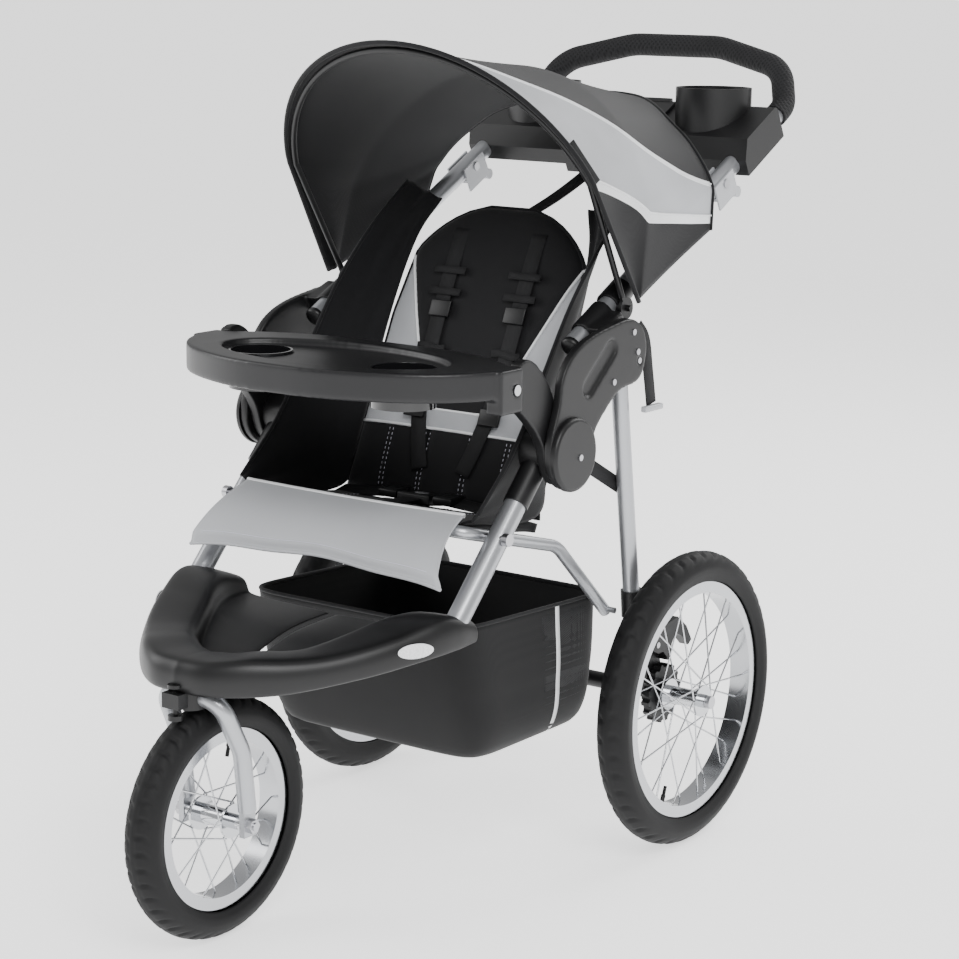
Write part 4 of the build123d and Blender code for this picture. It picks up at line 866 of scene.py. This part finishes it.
def basket_surface(u, v):
    """v runs down the wall from the rim, then in across the floor; u goes round."""
    wall = min(v / 0.7, 1.0)
    inwards = max(0.0, (v - 0.7) / 0.3)
    front, rear, half = basket_ring(wall)
    turn = 2 * math.pi * u
    c, s = math.cos(turn), math.sin(turn)
    power = 0.22
    px = math.copysign(abs(c) ** power, c)
    py = math.copysign(abs(s) ** power, s)
    middle, reach = (front + rear) / 2, (rear - front) / 2
    x, y = px * half, middle + py * reach
    lift = (y + 377) / 321
    rim_z = mix(352, 338, lift)
    z = mix(rim_z, 170, wall ** 0.92)
    sag = math.sin(math.pi * wall) * 3.5 * math.sin(turn * 2 + 1.2)
    x += px * sag * 0.25
    y += py * sag * 0.4
    x, y = mix(x, 0, inwards), mix(y, middle, inwards)
    z = z - 4 * math.sin(math.pi * inwards / 2) * (1 - inwards * 0.3)
    return at(x, y, z)


basket = grid("basket_shell", basket_surface, 160, 48, basket_cloth, closed_u=True)
thicken(basket, 1.6, -1.0)
fix(basket, "seat_link", "basket_cloth", "storage_basket")


def basket_side(sign):
    """The rear half of a basket side, a hair outside the shell."""
    def surface(u, v):
        along_side = mix(0.06, 0.93, u) ** (1 / 0.22)
        turn = math.asin(along_side) / (2 * math.pi)
        here = basket_surface(turn if sign > 0 else 0.5 - turn, mix(0.03, 0.66, v))
        return here + Vector((sign * 0.0012, 0, 0))
    return surface


mesh_cloth = finish_material("mesh_cloth", braid, (0.016, 0.016, 0.017), 0.6, tone=0.9, patch=20, fine=2600,
                             bump=1.0, depth=0.0008, shine=0.3)
for side, sign in (("right", 1), ("left", -1)):
    mesh_side = grid(f"basket_mesh_{side}", basket_side(sign), 24, 16, mesh_cloth)
    thicken(mesh_side, 0.8, 0.0)
    fix(mesh_side, "seat_link", "basket_cloth")
rim_path = [basket_surface(i / 120, 0.0) for i in range(120)]
fix(tube("basket_rim_binding", rim_path, 2.6, black_cloth, closed=True), "seat_link", "basket_cloth")
for side, sign in (("right", 1), ("left", -1)):
    strip_u = {1: 0.0005, -1: 0.4995}[sign]
    strip = []
    for i in range(25):
        here = basket_surface(strip_u, mix(0.0, 0.69, i / 24))
        strip.append(here + Vector((sign * 0.0012, 0, 0)))
    fix(ribbon(f"basket_white_strip_{side}", strip, Vector((sign, 0, 0)), 9, 1.2, white_piping), "seat_link",
        "basket_cloth")

# ------------------------------------------------------------------- harness
for side, sign in (("right", 1), ("left", -1)):
    path = curve_through([on_back(sign * 62, 372, 17), on_back(sign * 62, 300, 22), on_back(sign * 62, 220, 24),
                          on_back(sign * 58, 140, 24), on_back(sign * 46, 80, 22), on_back(sign * 34, 42, 20)])
    strap = ribbon(f"shoulder_strap_{side}", path, BACK_OUT, 24, 2.2, webbing)
    fix(strap, "seat_rest", "webbing", *(["shoulder_straps"] if sign > 0 else []))
    for i, (s, across) in enumerate(((312, 50), (282, 50), (205, 44), (170, 44))):
        bar = [on_back(sign * 60 + d, s + 2 * math.sin(d), 25.5) for d in (-across / 2, -across / 4, 0, across / 4, across / 2)]
        fix(ribbon(f"shoulder_loop_{side}_{i}", bar, BACK_OUT, 10, 2.0, webbing), "seat_rest", "webbing")
    for i, s in enumerate((258, 120)):
        slider = rounded_box(f"strap_slider_{side}_{i}", on_back(sign * 60, s, 26), (32, 5, 22), black_plastic,
                             turn=Matrix.Rotation(back_lean - math.pi / 2, 3, "X"))
        fix(slider, "seat_rest", "black_plastic")


def on_base(x, y, lift):
    u = (x / 158 + 1) / 2
    v = (y - BASE_FRONT[0]) / (BASE_REAR[0] - BASE_FRONT[0])
    return base_surface(u, v) + Vector((0, 0, lift / 1000))


for side, sign in (("right", 1), ("left", -1)):
    path = curve_through([on_base(sign * 150, -214, 3), on_base(sign * 110, -222, 5), on_base(sign * 66, -230, 9),
                          on_base(sign * 28, -234, 13)])
    lap = ribbon(f"lap_strap_{side}", path, Vector((0, -0.3, 1)), 24, 2.2, webbing)
    fix(lap, "seat_link", "webbing", *(["lap_straps"] if sign > 0 else []))
    clip = rounded_box(f"lap_clip_{side}", on_base(sign * 44, -232, 13), (30, 34, 11), black_plastic)
    fix(clip, "seat_link", "black_plastic")
path = curve_through([on_base(0, -330, 2), on_base(0, -300, 3), on_base(0, -270, 7), on_base(0, -246, 10)])
fix(ribbon("crotch_strap", path, Vector((0, -0.3, 1)), 26, 2.4, webbing), "seat_link", "webbing")

def stitches(name, path, body):
    """A row of short thread dashes along a path."""
    points, faces = [], []
    for a, b in zip(path[::2], path[1::2]):
        side = Vector((0.0006, 0, 0))
        out = (b - a).cross(side).normalized() * 0.0006
        k = len(points)
        points += [a - side, a + out, a + side, b - side, b + out, b + side]
        faces += [(k, k + 1, k + 4, k + 3), (k + 1, k + 2, k + 5, k + 4), (k, k + 3, k + 5, k + 2),
                  (k, k + 2, k + 1), (k + 3, k + 4, k + 5)]
    fix(piece(name, points, faces, white_thread), body, "seat_cloth")


for i, x in enumerate((-98, -92, -38, -32, 32, 38, 92, 98)):
    stitches(f"seat_back_stitch_{i}", [on_pad(x, mix(0.03, 0.22, k / 23), 0.6) for k in range(24)], "seat_rest")
    stitches(f"seat_base_stitch_{i}", [on_base(x, mix(-366, -208, k / 41), 0.6) for k in range(42)], "seat_link")

# -------------------------------------------------------------- other straps
recline_low, recline_high = on_back(0, 392, -4), at(0, 184, 884)
path = [recline_low.lerp(recline_high, t / 12) + Vector((0, 0, -0.006 * math.sin(math.pi * t / 12))) for t in range(13)]
fix(ribbon("recline_webbing", path, Vector((0, -0.3, 1)), 24, 2.2, webbing), "seat_rest", "webbing", "recline_strap")
for side, sign in (("right", 1), ("left", -1)):
    start, end = at(sign * 202.5, -229, 568), at(sign * 202.5, -76, 488)
    path = [start.lerp(end, t / 12) for t in range(13)]
    fix(ribbon(f"leg_strap_{side}", path, Vector((sign, 0, 0)), 20, 2.0, webbing), "front_frame", "webbing",
        *(["leg_limit_straps"] if sign > 0 else []))
path = curve_through([at(235, -92, 700), at(235, -74, 680), at(236, -66, 640), at(236, -57, 597)])
fix(ribbon("lock_webbing", path, Vector((1, 0, 0)), 22, 2.0, webbing), "upper_frame", "webbing", "fold_lock_strap")
fix(rounded_box("lock_strap_end", at(238, -57, 592), (9, 42, 8), latch_grey), "upper_frame", "webbing")

# ----------------------------------------------------------------- reflector
reflector_white = finish_material("reflector_white", grain, (0.82, 0.83, 0.85), 0.18, tone=0.25, patch=400,
                                  fine=700, bump=0.6, depth=0.0006)
node = bpy.data.objects["reflectors"]
node.data.materials.clear()
node.data.materials.append(reflector_white)

# --------------------------------------------------------------------- stage
floor_material = bpy.data.materials.new("floor_white")
floor_material.use_nodes = True
floor_material.node_tree.nodes["Principled BSDF"].inputs["Base Color"].default_value = (0.92, 0.92, 0.92, 1)
floor_material.node_tree.nodes["Principled BSDF"].inputs["Roughness"].default_value = 0.7
floor_material.node_tree.nodes["Principled BSDF"].inputs["Emission Color"].default_value = (1, 1, 1, 1)
floor_material.node_tree.nodes["Principled BSDF"].inputs["Emission Strength"].default_value = 1.2
floor = piece("studio_floor", [(-90, -90, -0.001), (90, -90, -0.001), (90, 90, -0.001), (-90, 90, -0.001)], [(0, 1, 2, 3)],
              floor_material)

world = bpy.data.worlds.new("studio")
world.use_nodes = True
world.node_tree.nodes["Background"].inputs["Color"].default_value = (1, 1, 1, 1)
air = world.node_tree
glow = air.nodes["Background"]
seen = air.nodes.new("ShaderNodeLightPath").outputs["Is Camera Ray"]
air.links.new(math_node(air, "ADD", math_node(air, "MULTIPLY", seen, 2.6), 0.6), glow.inputs["Strength"])
bpy.context.scene.world = world


def soft_light(name, place, target, size, power):
    data = bpy.data.lights.new(name, "AREA")
    data.size = size
    data.energy = power
    lamp = bpy.data.objects.new(name, data)
    lamp.location = place
    lamp.rotation_euler = (Vector(target) - Vector(place)).to_track_quat("-Z", "Y").to_euler()
    bpy.context.scene.collection.objects.link(lamp)


soft_light("key_light", (2.6, -2.2, 3.2), (0, 0, 0.5), 2.2, 130)
soft_light("side_light", (-3.2, -1.6, 2.0), (0, 0, 0.5), 2.4, 70)
soft_light("back_light", (0.6, 3.2, 2.8), (0, 0, 0.6), 2.4, 80)

# -------------------------------------------------------------------- camera
AZIMUTH, ELEVATION, ROLL = (math.radians(d) for d in (35.64, 11.62, 0.749))
backward = Vector((math.sin(AZIMUTH) * math.cos(ELEVATION), -math.cos(AZIMUTH) * math.cos(ELEVATION),
                   math.sin(ELEVATION)))
right = Vector((math.cos(AZIMUTH), math.sin(AZIMUTH), 0))
up = backward.cross(right)
right, up = (right * math.cos(ROLL) + up * math.sin(ROLL), up * math.cos(ROLL) - right * math.sin(ROLL))
lens = bpy.data.cameras.new("camera")
lens.sensor_width = 36
lens.lens = 94.1
lens.clip_end = 400
camera = bpy.data.objects.new("camera", lens)
camera.matrix_world = Matrix.Translation((1.9081, -2.5680, 1.1474)) @ Matrix((right, up, backward)).transposed().to_4x4()
bpy.context.scene.collection.objects.link(camera)
bpy.context.scene.camera = camera
